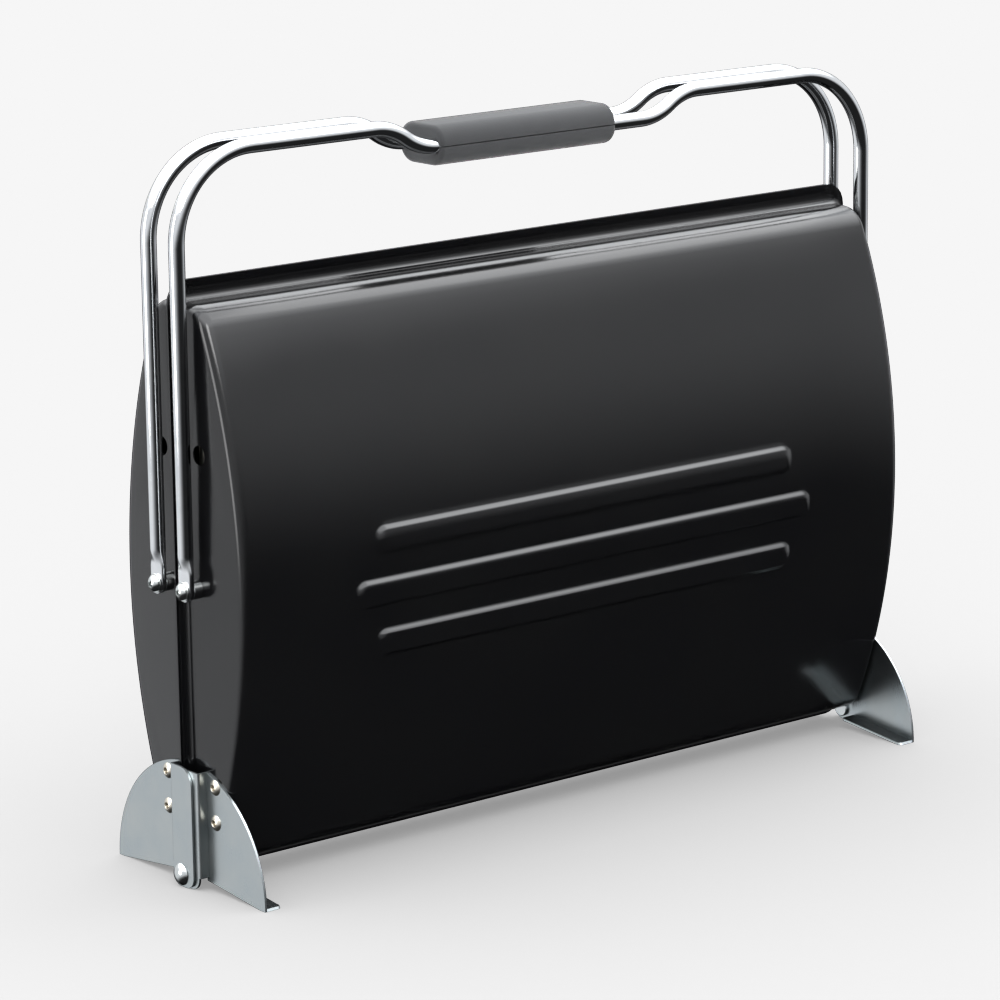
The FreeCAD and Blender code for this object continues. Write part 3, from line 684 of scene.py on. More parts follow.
@dataclass
class PressedTray:
    """One pressed half tray: vaulted back, end walls, flat rim and pressed ribs."""

    side: Side
    wall_low: float = 11.2 * MM
    wall_high: float = 301 * MM
    wall_end: float = 226 * MM
    depth: float = 51.6 * MM
    vault_round: float = 350 * MM
    vault_steps: int = 56
    shoulder_round: float = 16 * MM
    shoulder_steps: int = 12
    edge_round: float = 5.6 * MM
    edge_steps: int = 6
    corner_round: float = 12 * MM
    mouth: float = 1.2 * MM
    gauge: float = 1.0 * MM
    crease_round: float = 4.0 * MM
    crease_steps: int = 6
    crease_most: float = 0.8  # The share of a narrow rim that its bend may take.
    rib_rows: tuple[int, ...] = (-1, 0, 1)
    rib_half_length: float = 158 * MM
    rib_radius: float = 8 * MM
    rib_height: float = 2.2 * MM
    rib_edge: float = 3.2 * MM
    rib_edge_steps: int = 6
    rib_end_step: float = 0.8 * MM
    rib_end_steps: int = 52
    rib_middle_steps: int = 12
    rib_pitch: float = 27 * MM
    rib_drop: float = 8 * MM
    vent: Vector = field(default_factory=lambda: Vector((0, 16 * MM, 226 * MM)))
    vent_radius: float = 5 * MM
    vent_past: float = 10 * MM  # How far the hole's cutter stands out of the wall.
    rear_lip: float = 1.6 * MM
    smooth_below: float = 40.0

    def __post_init__(self) -> None:
        """Keeps a narrow lip below the rear tray, whose rim ends where its lower wall does."""
        if self.side is Side.REAR:
            self.wall_low += self.rear_lip

    @property
    def middle(self) -> float:
        """The height of the vault's crown."""
        return (self.wall_low + self.wall_high) / 2

    def build(self, finishes: Finishes) -> bpy.types.Object:
        """Builds and dresses the tray.

        Args:
            finishes: The grill's materials.

        Returns:
            The tray, riding on its half.
        """
        node = f"{self.side.word}_shell"
        bm = bmesh.new()
        self.draw_profile(bm)
        self.pull_along(bm)
        self.round_ends(bm)
        self.press_ribs(bm)
        self.fold_rim(bm, node)
        if self.side is Side.REAR:
            bmesh.ops.scale(bm, vec=(1, -1, 1), verts=bm.verts)
        bmesh.ops.recalc_face_normals(bm, faces=bm.faces)
        self.face_outward(bm)
        piece = finished_object(bm, f"{self.side.word}_tray", self.smooth_below)
        wall = piece.modifiers.new("sheet", "SOLIDIFY")
        wall.thickness = self.gauge
        wall.offset = -1.0
        apply_modifiers(piece)
        self.drill_vents(piece)
        shade_by_angle(piece, self.smooth_below)
        dress(piece, finishes.enamel)
        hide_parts(node)
        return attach(piece, f"{self.side.word}_half")

    def draw_profile(self, bm: bmesh.types.BMesh) -> None:
        """Draws wall, shoulder, vault, shoulder and wall as one open line at the left end.

        Args:
            bm: The mesh that gets the line.
        """
        vault_centre = Vector((-self.wall_end, self.vault_round - self.depth, self.middle))
        inner = self.vault_round - self.shoulder_round
        rise = self.wall_high - self.shoulder_round - self.middle
        lean = math.asin(rise / inner)
        shoulder_y = vault_centre.y - inner * math.cos(lean)
        top = Vector((-self.wall_end, shoulder_y, self.wall_high - self.shoulder_round))
        low = Vector((-self.wall_end, shoulder_y, self.wall_low + self.shoulder_round))
        first = bm.verts.new((-self.wall_end, -self.mouth, self.wall_high))
        second = bm.verts.new((-self.wall_end, shoulder_y, self.wall_high))
        bm.edges.new((first, second))
        quarter = math.pi / 2 - lean
        end = self.spin_on(bm, second, top, quarter, self.shoulder_steps)
        end = self.spin_on(bm, end, vault_centre, 2 * lean, self.vault_steps)
        end = self.spin_on(bm, end, low, quarter, self.shoulder_steps)
        last = bm.verts.new((-self.wall_end, -self.mouth, self.wall_low))
        bm.edges.new((end, last))

    def spin_on(
        self,
        bm: bmesh.types.BMesh,
        start: bmesh.types.BMVert,
        centre: Vector,
        angle: float,
        steps: int,
    ) -> bmesh.types.BMVert:
        """Carries a line on along an arc.

        Args:
            bm: The mesh that holds the line.
            start: The line's last vertex.
            centre: The arc's centre.
            angle: The arc's angle.
            steps: The arc's divisions.

        Returns:
            The vertex at the arc's end.
        """
        made = bmesh.ops.spin(
            bm, geom=[start], cent=centre, axis=X_AXIS, angle=angle, steps=steps, use_merge=False
        )
        return next(g for g in made["geom_last"] if isinstance(g, bmesh.types.BMVert))

    def pull_along(self, bm: bmesh.types.BMesh) -> None:
        """Pulls the profile along the case and closes both ends.

        Args:
            bm: The mesh that holds the profile at the left end.
        """
        left = list(bm.edges)
        verts, right = extrude_run(bm, left)
        bmesh.ops.translate(bm, verts=verts, vec=X_AXIS * 2 * self.wall_end)
        for edges in (left, right):
            ends = [v for v in {v for e in edges for v in e.verts} if self.is_at_mouth(v, SAME)]
            bmesh.ops.edgeloop_fill(bm, edges=[*edges, bm.edges.new(ends)])

    def is_at_mouth(self, vert: bmesh.types.BMVert, within: float) -> bool:
        """True for a vertex in the plane of the tray's mouth."""
        return abs(vert.co.y + self.mouth) < within

    def is_at_end(self, edge: bmesh.types.BMEdge) -> bool:
        """Whether an edge lies in one end wall's plane.

        Args:
            edge: An edge of the tray.

        Returns:
            True if it does.
        """
        first, second = (v.co.x for v in edge.verts)
        flush = all(abs(abs(x) - self.wall_end) < SAME for x in (first, second))
        return flush and first * second > 0

    def round_ends(self, bm: bmesh.types.BMesh) -> None:
        """Rounds the edges between the end walls and the rest.

        Args:
            bm: The tray.
        """
        corners = [
            e
            for e in bm.edges
            if self.is_at_end(e) and not all(self.is_at_mouth(v, SAME) for v in e.verts)
        ]
        round_edges(bm, corners, self.edge_round, self.edge_steps)

    def press_ribs(self, bm: bmesh.types.BMesh) -> None:
        """Divides the vault where the ribs need it and presses the long ribs out of it.

        Args:
            bm: The tray.
        """
        for place in self.rib_lines():
            self.score(bm, place, X_AXIS)
        for row in self.rib_rows:
            for edge in (-self.rib_radius, self.rib_radius - self.rib_edge):
                for step in range(self.rib_edge_steps + 1):
                    height = self.rib_row(row) + edge + self.rib_edge * step / self.rib_edge_steps
                    self.score(bm, height, Z_AXIS)
        centre = Vector((0, self.vault_round - self.depth, self.middle))
        for vert in bm.verts:
            height = self.rib_height_at(vert.co)
            if height > 0:
                outward = Vector((0, vert.co.y - centre.y, vert.co.z - centre.z)).normalized()
                vert.co += outward * height

    def rib_row(self, row: int) -> float:
        """The height of a rib's centre line."""
        return self.middle - self.rib_drop + row * self.rib_pitch

    def rib_lines(self) -> list[float]:
        """Where the sheet is divided along X.

        Returns:
            Places that lie closely at the ribs' ends and widely between them.
        """
        start = self.rib_half_length - self.rib_pitch / 2 - self.rib_radius
        near = [start + self.rib_end_step * step for step in range(self.rib_end_steps)]
        inner = range(1 - self.rib_middle_steps, self.rib_middle_steps)
        return [-x for x in near] + [start * n / self.rib_middle_steps for n in inner] + near

    def score(self, bm: bmesh.types.BMesh, place: float, axis: Vector) -> None:
        """Divides the vault's faces along a plane.

        Args:
            bm: The tray.
            place: Where the plane cuts the axis.
            axis: The direction that the plane stands across.
        """
        faces = [f for f in bm.faces if f.calc_center_median().y < -self.mouth * 2]
        edges = {e for f in faces for e in f.edges}
        verts = {v for f in faces for v in f.verts}
        geom = [*faces, *edges, *verts]
        bmesh.ops.bisect_plane(bm, geom=geom, plane_co=axis * place, plane_no=axis)

    def rib_height_at(self, place: Vector) -> float:
        """How far the sheet is pressed out at a place on the vault.

        Args:
            place: A point of the tray.

        Returns:
            The height above the plain vault, 0 off the ribs.
        """
        if place.y > -self.depth / 2:
            return 0.0
        tallest = 0.0
        for row in self.rib_rows:
            end = self.rib_half_length - abs(row) * self.rib_pitch / 2 - self.rib_radius
            along = max(abs(place.x) - end, 0.0)
            across = place.z - self.rib_row(row)
            inside = self.rib_radius - math.hypot(along, across)
            share = min(max(inside / self.rib_edge, 0.0), 1.0)
            tallest = max(tallest, self.rib_height * share * share * (3 - 2 * share))
        return tallest

    def fold_rim(self, bm: bmesh.types.BMesh, node: str) -> None:
        """Folds the flat rim out of the tray's mouth, up to the size of the CAD rim.

        Args:
            bm: The tray.
            node: The CAD node that holds the rim's size.
        """
        low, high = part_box(node)
        closing = [f for f in bm.faces if all(self.is_at_mouth(v, WELD) for v in f.verts)]
        bmesh.ops.delete(bm, geom=closing, context="FACES_ONLY")
        bmesh.ops.delete(bm, geom=[e for e in bm.edges if e.is_wire], context="EDGES")
        run = [e for e in bm.edges if e.is_boundary]
        routes = {}
        for vert in {v for e in run for v in e.verts}:
            start = vert.co.copy()
            end = self.rim_place(start, high.x, low.z, high.z)
            bend = min(self.crease_round, (end - start).length * self.crease_most)
            routes[vert] = (start, end, bend)
            vert.co.y -= bend
        for step in range(1, self.crease_steps + 2):
            verts, run = extrude_run(bm, run)
            routes = carry_over(routes, verts)
            for vert, route in routes.items():
                vert.co = self.fold_place(*route, step / self.crease_steps)

    def fold_place(self, start: Vector, end: Vector, bend: float, share: float) -> Vector:
        """A point on the bend between the wall and the rim, or on the rim's edge past the bend.

        Args:
            start: The point of the mouth's sharp corner.
            end: Its place on the rim's outline.
            bend: The bend's radius.
            share: How far round the bend the point is; more than 1 is the rim's edge.

        Returns:
            The point.
        """
        if share > 1:
            return end
        angle = share * math.pi / 2
        out = (end - start).normalized() * bend * (1 - math.cos(angle))
        return start + out - Y_AXIS * bend * (1 - math.sin(angle))

    def rim_place(self, place: Vector, end: float, low: float, high: float) -> Vector:
        """Where a point of the mouth goes on the rim's outer outline.

        Args:
            place: A point of the mouth.
            end: The rim's right end.
            low: The rim's lower edge.
            high: The rim's upper edge.

        Returns:
            The point on the outline.
        """
        inner = Vector((self.wall_end - self.edge_round, self.wall_high - self.edge_round))
        inner_low = self.wall_low + self.edge_round
        sign = 1 if place.x > 0 else -1
        in_end = abs(place.x) > inner.x + WELD
        above = place.z > inner.y + WELD
        below = place.z < inner_low - WELD
        outer_x = end - self.corner_round
        outer_low, outer_high = low + self.corner_round, high - self.corner_round
        if in_end and (above or below):
            start = Vector((inner.x, inner.y if above else inner_low))
            step = (Vector((abs(place.x), place.z)) - start).normalized() * self.corner_round
            z = (outer_high if above else outer_low) + step.y
            return Vector((sign * (outer_x + step.x), place.y, z))
        if in_end:
            share = (place.z - inner_low) / (inner.y - inner_low)
            return Vector((sign * end, place.y, outer_low + share * (outer_high - outer_low)))
        z = high if place.z > self.middle else low
        return Vector((place.x * outer_x / inner.x, place.y, z))

    def face_outward(self, bm: bmesh.types.BMesh) -> None:
        """Turns the whole sheet over if its vault faces inward.

        Args:
            bm: The tray.
        """
        outward = self.side.value
        peak = Vector((0, outward * self.depth, self.middle))
        crown = min(bm.faces, key=lambda f: (f.calc_center_median() - peak).length)
        if crown.normal.y * outward < 0:
            bmesh.ops.reverse_faces(bm, faces=bm.faces)

    def drill_vents(self, piece: bpy.types.Object) -> None:
        """Cuts the air hole through both end walls.

        Args:
            piece: The tray.
        """
        cutter = bmesh.new()
        place = Vector((0, self.side.value * self.vent.y, self.vent.z))
        reach = X_AXIS * (self.wall_end + self.vent_past)
        add_cylinder(cutter, self.vent_radius, place - reach, place + reach)
        cut_with(piece, cutter)


# Wire handles


@dataclass
class BentHandle:
    """One carrying handle: a round wire bent in one plane, its two ends flattened."""

    side: Side
    wire: float = 4 * MM
    wire_segments: int = 28
    back: float = 12 * MM
    grip_height: float = 364.5 * MM
    grip_run: float = 70 * MM
    swan_end: float = 110 * MM
    swan_steps: int = 14
    bar_height: float = 377 * MM
    arm_out: float = 233 * MM
    corner: float = 46 * MM
    corner_steps: int = 26
    arm_low: float = 175 * MM
    tab_top: float = 165 * MM
    tab_middle: float = 233 * MM
    tab_half_gauge: float = 1.6 * MM
    tab_half_width: float = 5.5 * MM
    tab_steps: int = 8
    tab_fullness: float = 1.9  # 1 is an oval section, more is a flatter one.
    tip_turn: float = 84.6  # Degrees of the half circle that rounds off the flat end.
    tip_steps: int = 9
    pivot_height: float = 157 * MM
    screw_hole: float = 2.6 * MM
    hole_sides: int = 32
    drill_from: float = 220 * MM
    drill_to: float = 240 * MM
    smooth_below: float = 50.0

    @property
    def plane(self) -> float:
        """The Y of the handle's plane."""
        return self.side.value * self.back

    def build(self, finishes: Finishes) -> bpy.types.Object:
        """Builds and dresses the handle.

        Args:
            finishes: The grill's materials.

        Returns:
            The handle, riding on its own body.
        """
        node = f"{self.side.word}_handle"
        bm = bmesh.new()
        ring = self.start_ring(bm)
        ring = self.bend_wire(bm, ring)
        self.flatten_end(bm, ring)
        half = [*bm.verts, *bm.edges, *bm.faces]
        bmesh.ops.mirror(bm, geom=half, axis="X", merge_dist=WELD)
        bmesh.ops.remove_doubles(bm, verts=bm.verts, dist=WELD)
        bmesh.ops.recalc_face_normals(bm, faces=bm.faces)
        piece = finished_object(bm, f"{self.side.word}_wire_handle", self.smooth_below)
        for sign in ENDS:
            cutter = bmesh.new()
            near = Vector((sign * self.drill_from, self.plane, self.pivot_height))
            far = Vector((sign * self.drill_to, self.plane, self.pivot_height))
            add_cylinder(cutter, self.screw_hole, near, far, self.hole_sides)
            cut_with(piece, cutter)
        shade_by_angle(piece, self.smooth_below)
        dress(piece, finishes.chrome)
        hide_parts(node)
        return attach(piece, node)

    def start_ring(self, bm: bmesh.types.BMesh) -> list[bmesh.types.BMEdge]:
        """Draws the wire's round section at the handle's middle.

        Args:
            bm: The mesh that gets the section.

        Returns:
            The section's edges.
        """
        place = Matrix.Translation((0, self.plane, self.grip_height))
        upright = place @ Matrix.Rotation(math.pi / 2, 4, "Y")
        sides = self.wire_segments
        bmesh.ops.create_circle(bm, segments=sides, radius=self.wire, matrix=upright)
        return bm.edges[:]

    def bend_wire(
        self, bm: bmesh.types.BMesh, ring: list[bmesh.types.BMEdge]
    ) -> list[bmesh.types.BMEdge]:
        """Carries the section along the grip run, swan neck, upper run, corner and arm.

        Args:
            bm: The handle.
            ring: The section's edges at the handle's middle.

        Returns:
            The section's edges at the arm's lower end.
        """
        reach, drop = self.swan_end - self.grip_run, self.bar_height - self.grip_height
        neck = (reach * reach + drop * drop) / (4 * drop)
        turn = 2 * math.atan2(drop, reach)
        ring = self.push(bm, ring, X_AXIS * self.grip_run)
        low = (self.grip_run, self.grip_height + neck)
        high = (self.swan_end, self.bar_height - neck)
        ring = self.turn(bm, ring, low, -turn, self.swan_steps)
        ring = self.turn(bm, ring, high, turn, self.swan_steps)
        ring = self.push(bm, ring, X_AXIS * (self.arm_out - self.corner - self.swan_end))
        centre = (self.arm_out - self.corner, self.bar_height - self.corner)
        ring = self.turn(bm, ring, centre, math.pi / 2, self.corner_steps)
        drop = self.bar_height - self.corner - self.arm_low
        return self.push(bm, ring, -Z_AXIS * drop)

    def push(
        self, bm: bmesh.types.BMesh, ring: list[bmesh.types.BMEdge], run: Vector
    ) -> list[bmesh.types.BMEdge]:
        """Extrudes the section straight along a run.

        Args:
            bm: The handle.
            ring: The section's edges.
            run: How far and which way it goes.

        Returns:
            The section's edges at the run's end.
        """
        verts, ring = extrude_run(bm, ring)
        bmesh.ops.translate(bm, verts=verts, vec=run)
        return ring

    def turn(
        self,
        bm: bmesh.types.BMesh,
        ring: list[bmesh.types.BMEdge],
        centre: tuple[float, float],
        angle: float,
        steps: int,
    ) -> list[bmesh.types.BMEdge]:
        """Spins the section round a bend.

        Args:
            bm: The handle.
            ring: The section's edges.
            centre: The bend's X and Z.
            angle: The bend's angle; a positive one turns it downward.
            steps: The bend's divisions.

        Returns:
            The section's edges at the bend's end.
        """
        made = bmesh.ops.spin(
            bm,
            geom=ring,
            cent=(centre[0], self.plane, centre[1]),
            axis=Y_AXIS,
            angle=angle,
            steps=steps,
            use_merge=False,
        )
        return [g for g in made["geom_last"] if isinstance(g, bmesh.types.BMEdge)]

    def flatten_end(self, bm: bmesh.types.BMesh, ring: list[bmesh.types.BMEdge]) -> None:
        """Presses the wire flat below the arm and rounds off the flat end.

        Args:
            bm: The handle.
            ring: The section's edges at the arm's lower end.
        """
        shares = [step / self.tab_steps for step in range(1, self.tab_steps + 1)]
        fall = self.tab_top - self.arm_low
        levels = [(self.arm_low + fall * share, share, 1.0) for share in shares]
        levels.append((self.pivot_height, 1.0, 1.0))
        for step in range(1, self.tip_steps + 1):
            turn = math.radians(self.tip_turn * step / self.tip_steps)
            height = self.pivot_height - self.tab_half_width * math.sin(turn)
            levels.append((height, 1.0, math.cos(turn)))
        rim = {v for e in ring for v in e.verts}
        angles = {v: math.atan2(v.co.y - self.plane, v.co.x - self.arm_out) for v in rim}
        for level in levels:
            verts, ring = extrude_run(bm, ring)
            angles = carry_over(angles, verts)
            for vert, angle in angles.items():
                vert.co = self.flat_section(angle, *level)
        bmesh.ops.edgeloop_fill(bm, edges=ring)

    def flat_section(self, angle: float, height: float, flat: float, width: float) -> Vector:
        """A point on the wire's section while it goes from round to flat.

        Args:
            angle: Where the point sits round the section.
            height: The section's height.
            flat: 0 for the round wire, 1 for the flat end.
            width: The share of the flat end's width that is left.

        Returns:
            The point.
        """
        ease = flat * flat * (3 - 2 * flat)
        across = min(max(self.tab_fullness * math.cos(angle), -1.0), 1.0)
        thick = (1 - ease) * self.wire * math.cos(angle) + ease * self.tab_half_gauge * across
        wide = ((1 - ease) * self.wire + ease * self.tab_half_width) * math.sin(angle)
        middle = (1 - ease) * self.arm_out + ease * self.tab_middle
        return Vector((middle + thick, self.plane + wide * width, height))


@dataclass
class FoamGrip:
    """The soft sleeve round both handle wires, slit along its front."""

    length: float = 118 * MM
    shift: float = -11 * MM
    deep: float = 36 * MM
    tall: float = 21 * MM
    height: float = 364.5 * MM
    long_round: float = 9.9 * MM
    long_steps: int = 16
    end_round: float = 2.4 * MM
    end_steps: int = 8
    wire_back: float = 12 * MM
    wire_hole: float = 4.05 * MM
    hole_sides: int = 40
    slit: float = 0.7 * MM
    slit_past: float = 1.2  # The cutter's length, in grip lengths.
    smooth_below: float = 60.0

    def build(self, finishes: Finishes) -> bpy.types.Object:
        """Builds and dresses the grip.

        Args:
            finishes: The grill's materials.

        Returns:
            The grip, riding on the rear handle.
        """
        bm = bmesh.new()
        bmesh.ops.create_cube(bm, size=1.0)
        bmesh.ops.scale(bm, vec=(self.length, self.deep, self.tall), verts=bm.verts)
        bmesh.ops.translate(bm, verts=bm.verts, vec=(self.shift, 0, self.height))
        self.round_off(bm, self.long_round, self.long_steps, True)
        self.round_off(bm, self.end_round, self.end_steps, False)
        piece = finished_object(bm, "foam_grip", self.smooth_below)
        reach = X_AXIS * self.length
        for side in Side:
            cutter = bmesh.new()
            place = Vector((self.shift, side.value * self.wire_back, self.height))
            add_cylinder(cutter, self.wire_hole, place - reach, place + reach, self.hole_sides)
            cut_with(piece, cutter)
        # The slit runs from the front wire's middle out through the foam, past both ends.
        cutter = bmesh.new()
        slit_size = (self.length * self.slit_past, self.wire_back, self.slit)
        slit_place = (self.shift, -self.wire_back - self.wire_back / 2, self.height)
        bmesh.ops.create_cube(cutter, size=1.0)
        bmesh.ops.scale(cutter, vec=slit_size, verts=cutter.verts)
        bmesh.ops.translate(cutter, verts=cutter.verts, vec=slit_place)
        cut_with(piece, cutter)
        shade_by_angle(piece, self.smooth_below)
        dress(piece, finishes.foam)
        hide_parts("handle_grip")
        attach(piece, "rear_handle")
        return piece

    def round_off(self, bm: bmesh.types.BMesh, radius: float, segments: int, long: bool) -> None:
        """Rounds either the long edges or the edges of both ends.

        Args:
            bm: The grip.
            radius: The rounding.
            segments: The faces across it.
            long: Whether the long edges are rounded.
        """
        ends = (self.shift - self.length / 2, self.shift + self.length / 2)

        def at_end(edge: bmesh.types.BMEdge) -> bool:
            """True for an edge in one of the end faces."""
            return any(all(abs(v.co.x - x) < SAME for v in edge.verts) for x in ends)

        chosen = [e for e in bm.edges if at_end(e) != long]
        round_edges(bm, chosen, radius, segments, clamp=True)


# Plates, rivets and screws


@dataclass
class Fasteners:
    """One half's rivets, screws, washers and nuts, turned about axes along X."""

    side: Side
    wall_out: float = 226 * MM
    wall_in: float = 225 * MM
    plate_out: float = 227.2 * MM
    hinge_axis: float = -1.5 * MM
    front_rivet_out: float = 22.2 * MM
    rear_rivet_out: float = 19 * MM
    rivet_radius: float = 4.1 * MM
    rivet_side: float = 0.15 * MM
    rivet_rise: float = 1.7 * MM
    rivet_bore: float = 1.6 * MM
    bore_lip: float = 0.25 * MM
    rivet_pin: float = 1.2 * MM
    pin_proud: float = 0.4 * MM
    pin_edge: float = 0.2 * MM
    pin_tip: float = 0.8  # The broken end's share of the pin's radius.
    pin_well: float = 0.5 * MM
    rivet_shank: float = 2.4 * MM
    rivet_bulb: float = 3.1 * MM
    bulb_long: float = 3.2 * MM
    bulb_start: float = 0.3 * MM
    bulb_taper: float = 0.8 * MM
    bulb_tip: float = 0.6  # The flat end's share of the bulb's radius.
    rivet_heights: tuple[float, float] = (37.2 * MM, 55.8 * MM)
    pivot: tuple[float, float] = (12 * MM, 157 * MM)
    tab_in: float = 231.4 * MM
    tab_out: float = 234.6 * MM
    washer_radius: float = 5.0 * MM
    washer_gauge: float = 0.95 * MM
    washer_edge: float = 0.15 * MM
    washer_steps: int = 48
    screw_radius: float = 2.5 * MM
    screw_past: float = 1.5  # The thread's length inside the wall, in nut thicknesses.
    screw_chamfer: float = 0.4 * MM
    screw_steps: int = 56
    head_radius: float = 4.2 * MM
    head_rise: float = 3.1 * MM
    head_side: float = 0.9 * MM
    head_edge: float = 0.2 * MM
    recess_long: float = 5.4 * MM
    recess_wide: float = 1.5 * MM
    recess_deep: float = 2.1 * MM
    recess_turn: float = 32.0  # Degrees that the cross is turned about the screw.
    recess_taper: tuple[float, float, float] = (1.0, 0.45, 0.6)
    nut_circle: float = 4.6 * MM
    nut_gauge: float = 4.0 * MM
    nut_edge: float = 0.25 * MM
    drill_reach: float = 300 * MM
    drill_sides: int = 40
    play: float = 0.05 * MM  # The gap between pieces that touch.

    @property
    def axis(self) -> tuple[float, float]:
        """The handle pivot's Y and Z."""
        return self.side.value * self.pivot[0], self.pivot[1]

    def build(self, finishes: Finishes) -> list[bpy.types.Object]:
        """Builds and dresses the half's fasteners.

        Args:
            finishes: The grill's materials.

        Returns:
            The rivets, screws, washers and nuts, riding on their half.
        """
        made = (
            (self.rivets(), "leg_rivets", "rivet_steel", finishes.rivet),
            (self.screws(), "handle_screws", "fastener_zinc", finishes.fastener),
            (self.washers(), "handle_washers", "fastener_zinc", finishes.fastener),
            (self.nuts(), "handle_nuts", "fastener_zinc", finishes.fastener),
        )
        for piece, node, slot, material in made:
            dress(piece, material)
            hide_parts(f"{self.side.word}_{node}")
            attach(piece, f"{self.side.word}_half")
        return [piece for piece, *_ in made]

    def rivets(self) -> bpy.types.Object:
        """Makes four blind rivets: a domed flange, the broken pin in its bore, the bulb inside.

        Returns:
            The rivets as one piece.
        """
        out = self.front_rivet_out if self.side is Side.FRONT else self.rear_rivet_out
        y = self.hinge_axis + self.side.value * out
        face, bulb_end = self.plate_out, self.wall_in - self.bulb_long
        rim = face + self.rivet_side
        dome = dome_profile(rim, self.rivet_radius, self.rivet_rise, self.rivet_bore)
        lip = dome[0][0]
        profile = [
            (face + self.pin_proud, 0.0),
            (face + self.pin_proud, self.rivet_pin * self.pin_tip),
            (face + self.pin_edge, self.rivet_pin),
            (face - self.pin_well, self.rivet_pin),
            (face - self.pin_well, self.rivet_bore),
            (lip - self.bore_lip, self.rivet_bore),
            *dome[1:],
            (face, self.rivet_radius),
            (face, self.rivet_shank),
            (self.wall_in, self.rivet_shank),
            (self.wall_in - self.bulb_start, self.rivet_bulb),
            (bulb_end + self.bulb_taper, self.rivet_bulb),
            (bulb_end, self.rivet_bulb * self.bulb_tip),
            (bulb_end, 0.0),
        ]
        bm = bmesh.new()
        for sign in ENDS:
            for height in self.rivet_heights:
                add_turned(bm, profile, sign, (y, height))
        return finish_turned(bm, f"{self.side.word}_blind_rivets")

    def screws(self) -> bpy.types.Object:
        """Makes two handle screws with a domed head and a cross recess.

        Returns:
            The screws as one piece.
        """
        start = self.tab_out + self.washer_gauge + 2 * self.play
        rise = self.head_rise - self.head_side
        end = self.wall_in - self.nut_gauge * self.screw_past
        profile = [
            *dome_profile(start + self.head_side, self.head_radius, rise),
            (start + self.head_edge, self.head_radius),
            (start, self.head_radius - self.head_edge),
            (start, self.screw_radius),
            (end + self.screw_chamfer, self.screw_radius),
            (end, self.screw_radius - self.screw_chamfer),
            (end, 0.0),
        ]
        bm = bmesh.new()
        for sign in ENDS:
            add_turned(bm, profile, sign, self.axis, self.screw_steps)
        piece = finish_turned(bm, f"{self.side.word}_cross_screws")
        for sign in ENDS:
            for turn in (0.0, math.pi / 2):
                cut_with(piece, self.recess(sign * (start + self.head_rise), turn))
        shade_by_angle(piece, TURNED_SMOOTH)
        return piece

    def recess(self, crown: float, turn: float) -> bmesh.types.BMesh:
        """Shapes one tapered wing of the cross recess, pointing into the head.

        Args:
            crown: The X of the head's crown.
            turn: How far the wing is turned about the screw, beyond the cross's own slant.

        Returns:
            The wing, as a closed cutter.
        """
        bm = bmesh.new()
        bmesh.ops.create_cube(bm, size=1.0)
        size = (self.recess_deep * 2, self.recess_long, self.recess_wide)
        bmesh.ops.scale(bm, vec=size, verts=bm.verts)
        tip = [v for v in bm.verts if v.co.x * crown < 0]
        bmesh.ops.scale(bm, vec=self.recess_taper, verts=tip)
        slant = Matrix.Rotation(turn + math.radians(self.recess_turn), 4, "X")
        place = Matrix.Translation((crown, *self.axis))
        bmesh.ops.transform(bm, matrix=place @ slant, verts=bm.verts)
        return bm

    def washers(self) -> bpy.types.Object:
        """Makes the washer under each screw head and the spacer behind each flattened end.

        Returns:
            The washers and spacers as one piece.
        """
        bm = bmesh.new()
        hole = self.screw_radius + 2 * self.play
        under_head = self.tab_out + self.play
        stack = (
            (self.wall_out + self.play, self.tab_in - self.play),
            (under_head, under_head + self.washer_gauge),
        )
        for low, high in stack:
            ring = [
                (high, hole),
                (high, self.washer_radius - self.washer_edge),
                (high - self.washer_edge, self.washer_radius),
                (low + self.washer_edge, self.washer_radius),
                (low, self.washer_radius - self.washer_edge),
                (low, hole),
                (high, hole),
            ]
            for sign in ENDS:
                add_turned(bm, ring, sign, self.axis, self.washer_steps)
        return finish_turned(bm, f"{self.side.word}_washers")

    def nuts(self) -> bpy.types.Object:
        """Makes two hexagon nuts inside the end walls.

        Returns:
            The nuts as one piece.
        """
        bm = bmesh.new()
        middle = self.wall_in - self.play - self.nut_gauge / 2
        for sign in ENDS:
            place = Matrix.Translation((sign * middle, *self.axis))
            bmesh.ops.create_cone(
                bm,
                cap_ends=True,
                segments=6,
                radius1=self.nut_circle,
                radius2=self.nut_circle,
                depth=self.nut_gauge,
                matrix=place @ Matrix.Rotation(math.pi / 2, 4, "Y"),
            )
        round_edges(bm, bm.edges[:], self.nut_edge, 2)
        piece = finished_object(bm, f"{self.side.word}_nuts")
        reach = X_AXIS * self.drill_reach
        centre = Vector((0, *self.axis))
        cutter = bmesh.new()
        bore = self.screw_radius + self.play
        add_cylinder(cutter, bore, centre - reach, centre + reach, self.drill_sides)
        cut_with(piece, cutter)
        shade_by_angle(piece, TURNED_SMOOTH)
        return piece


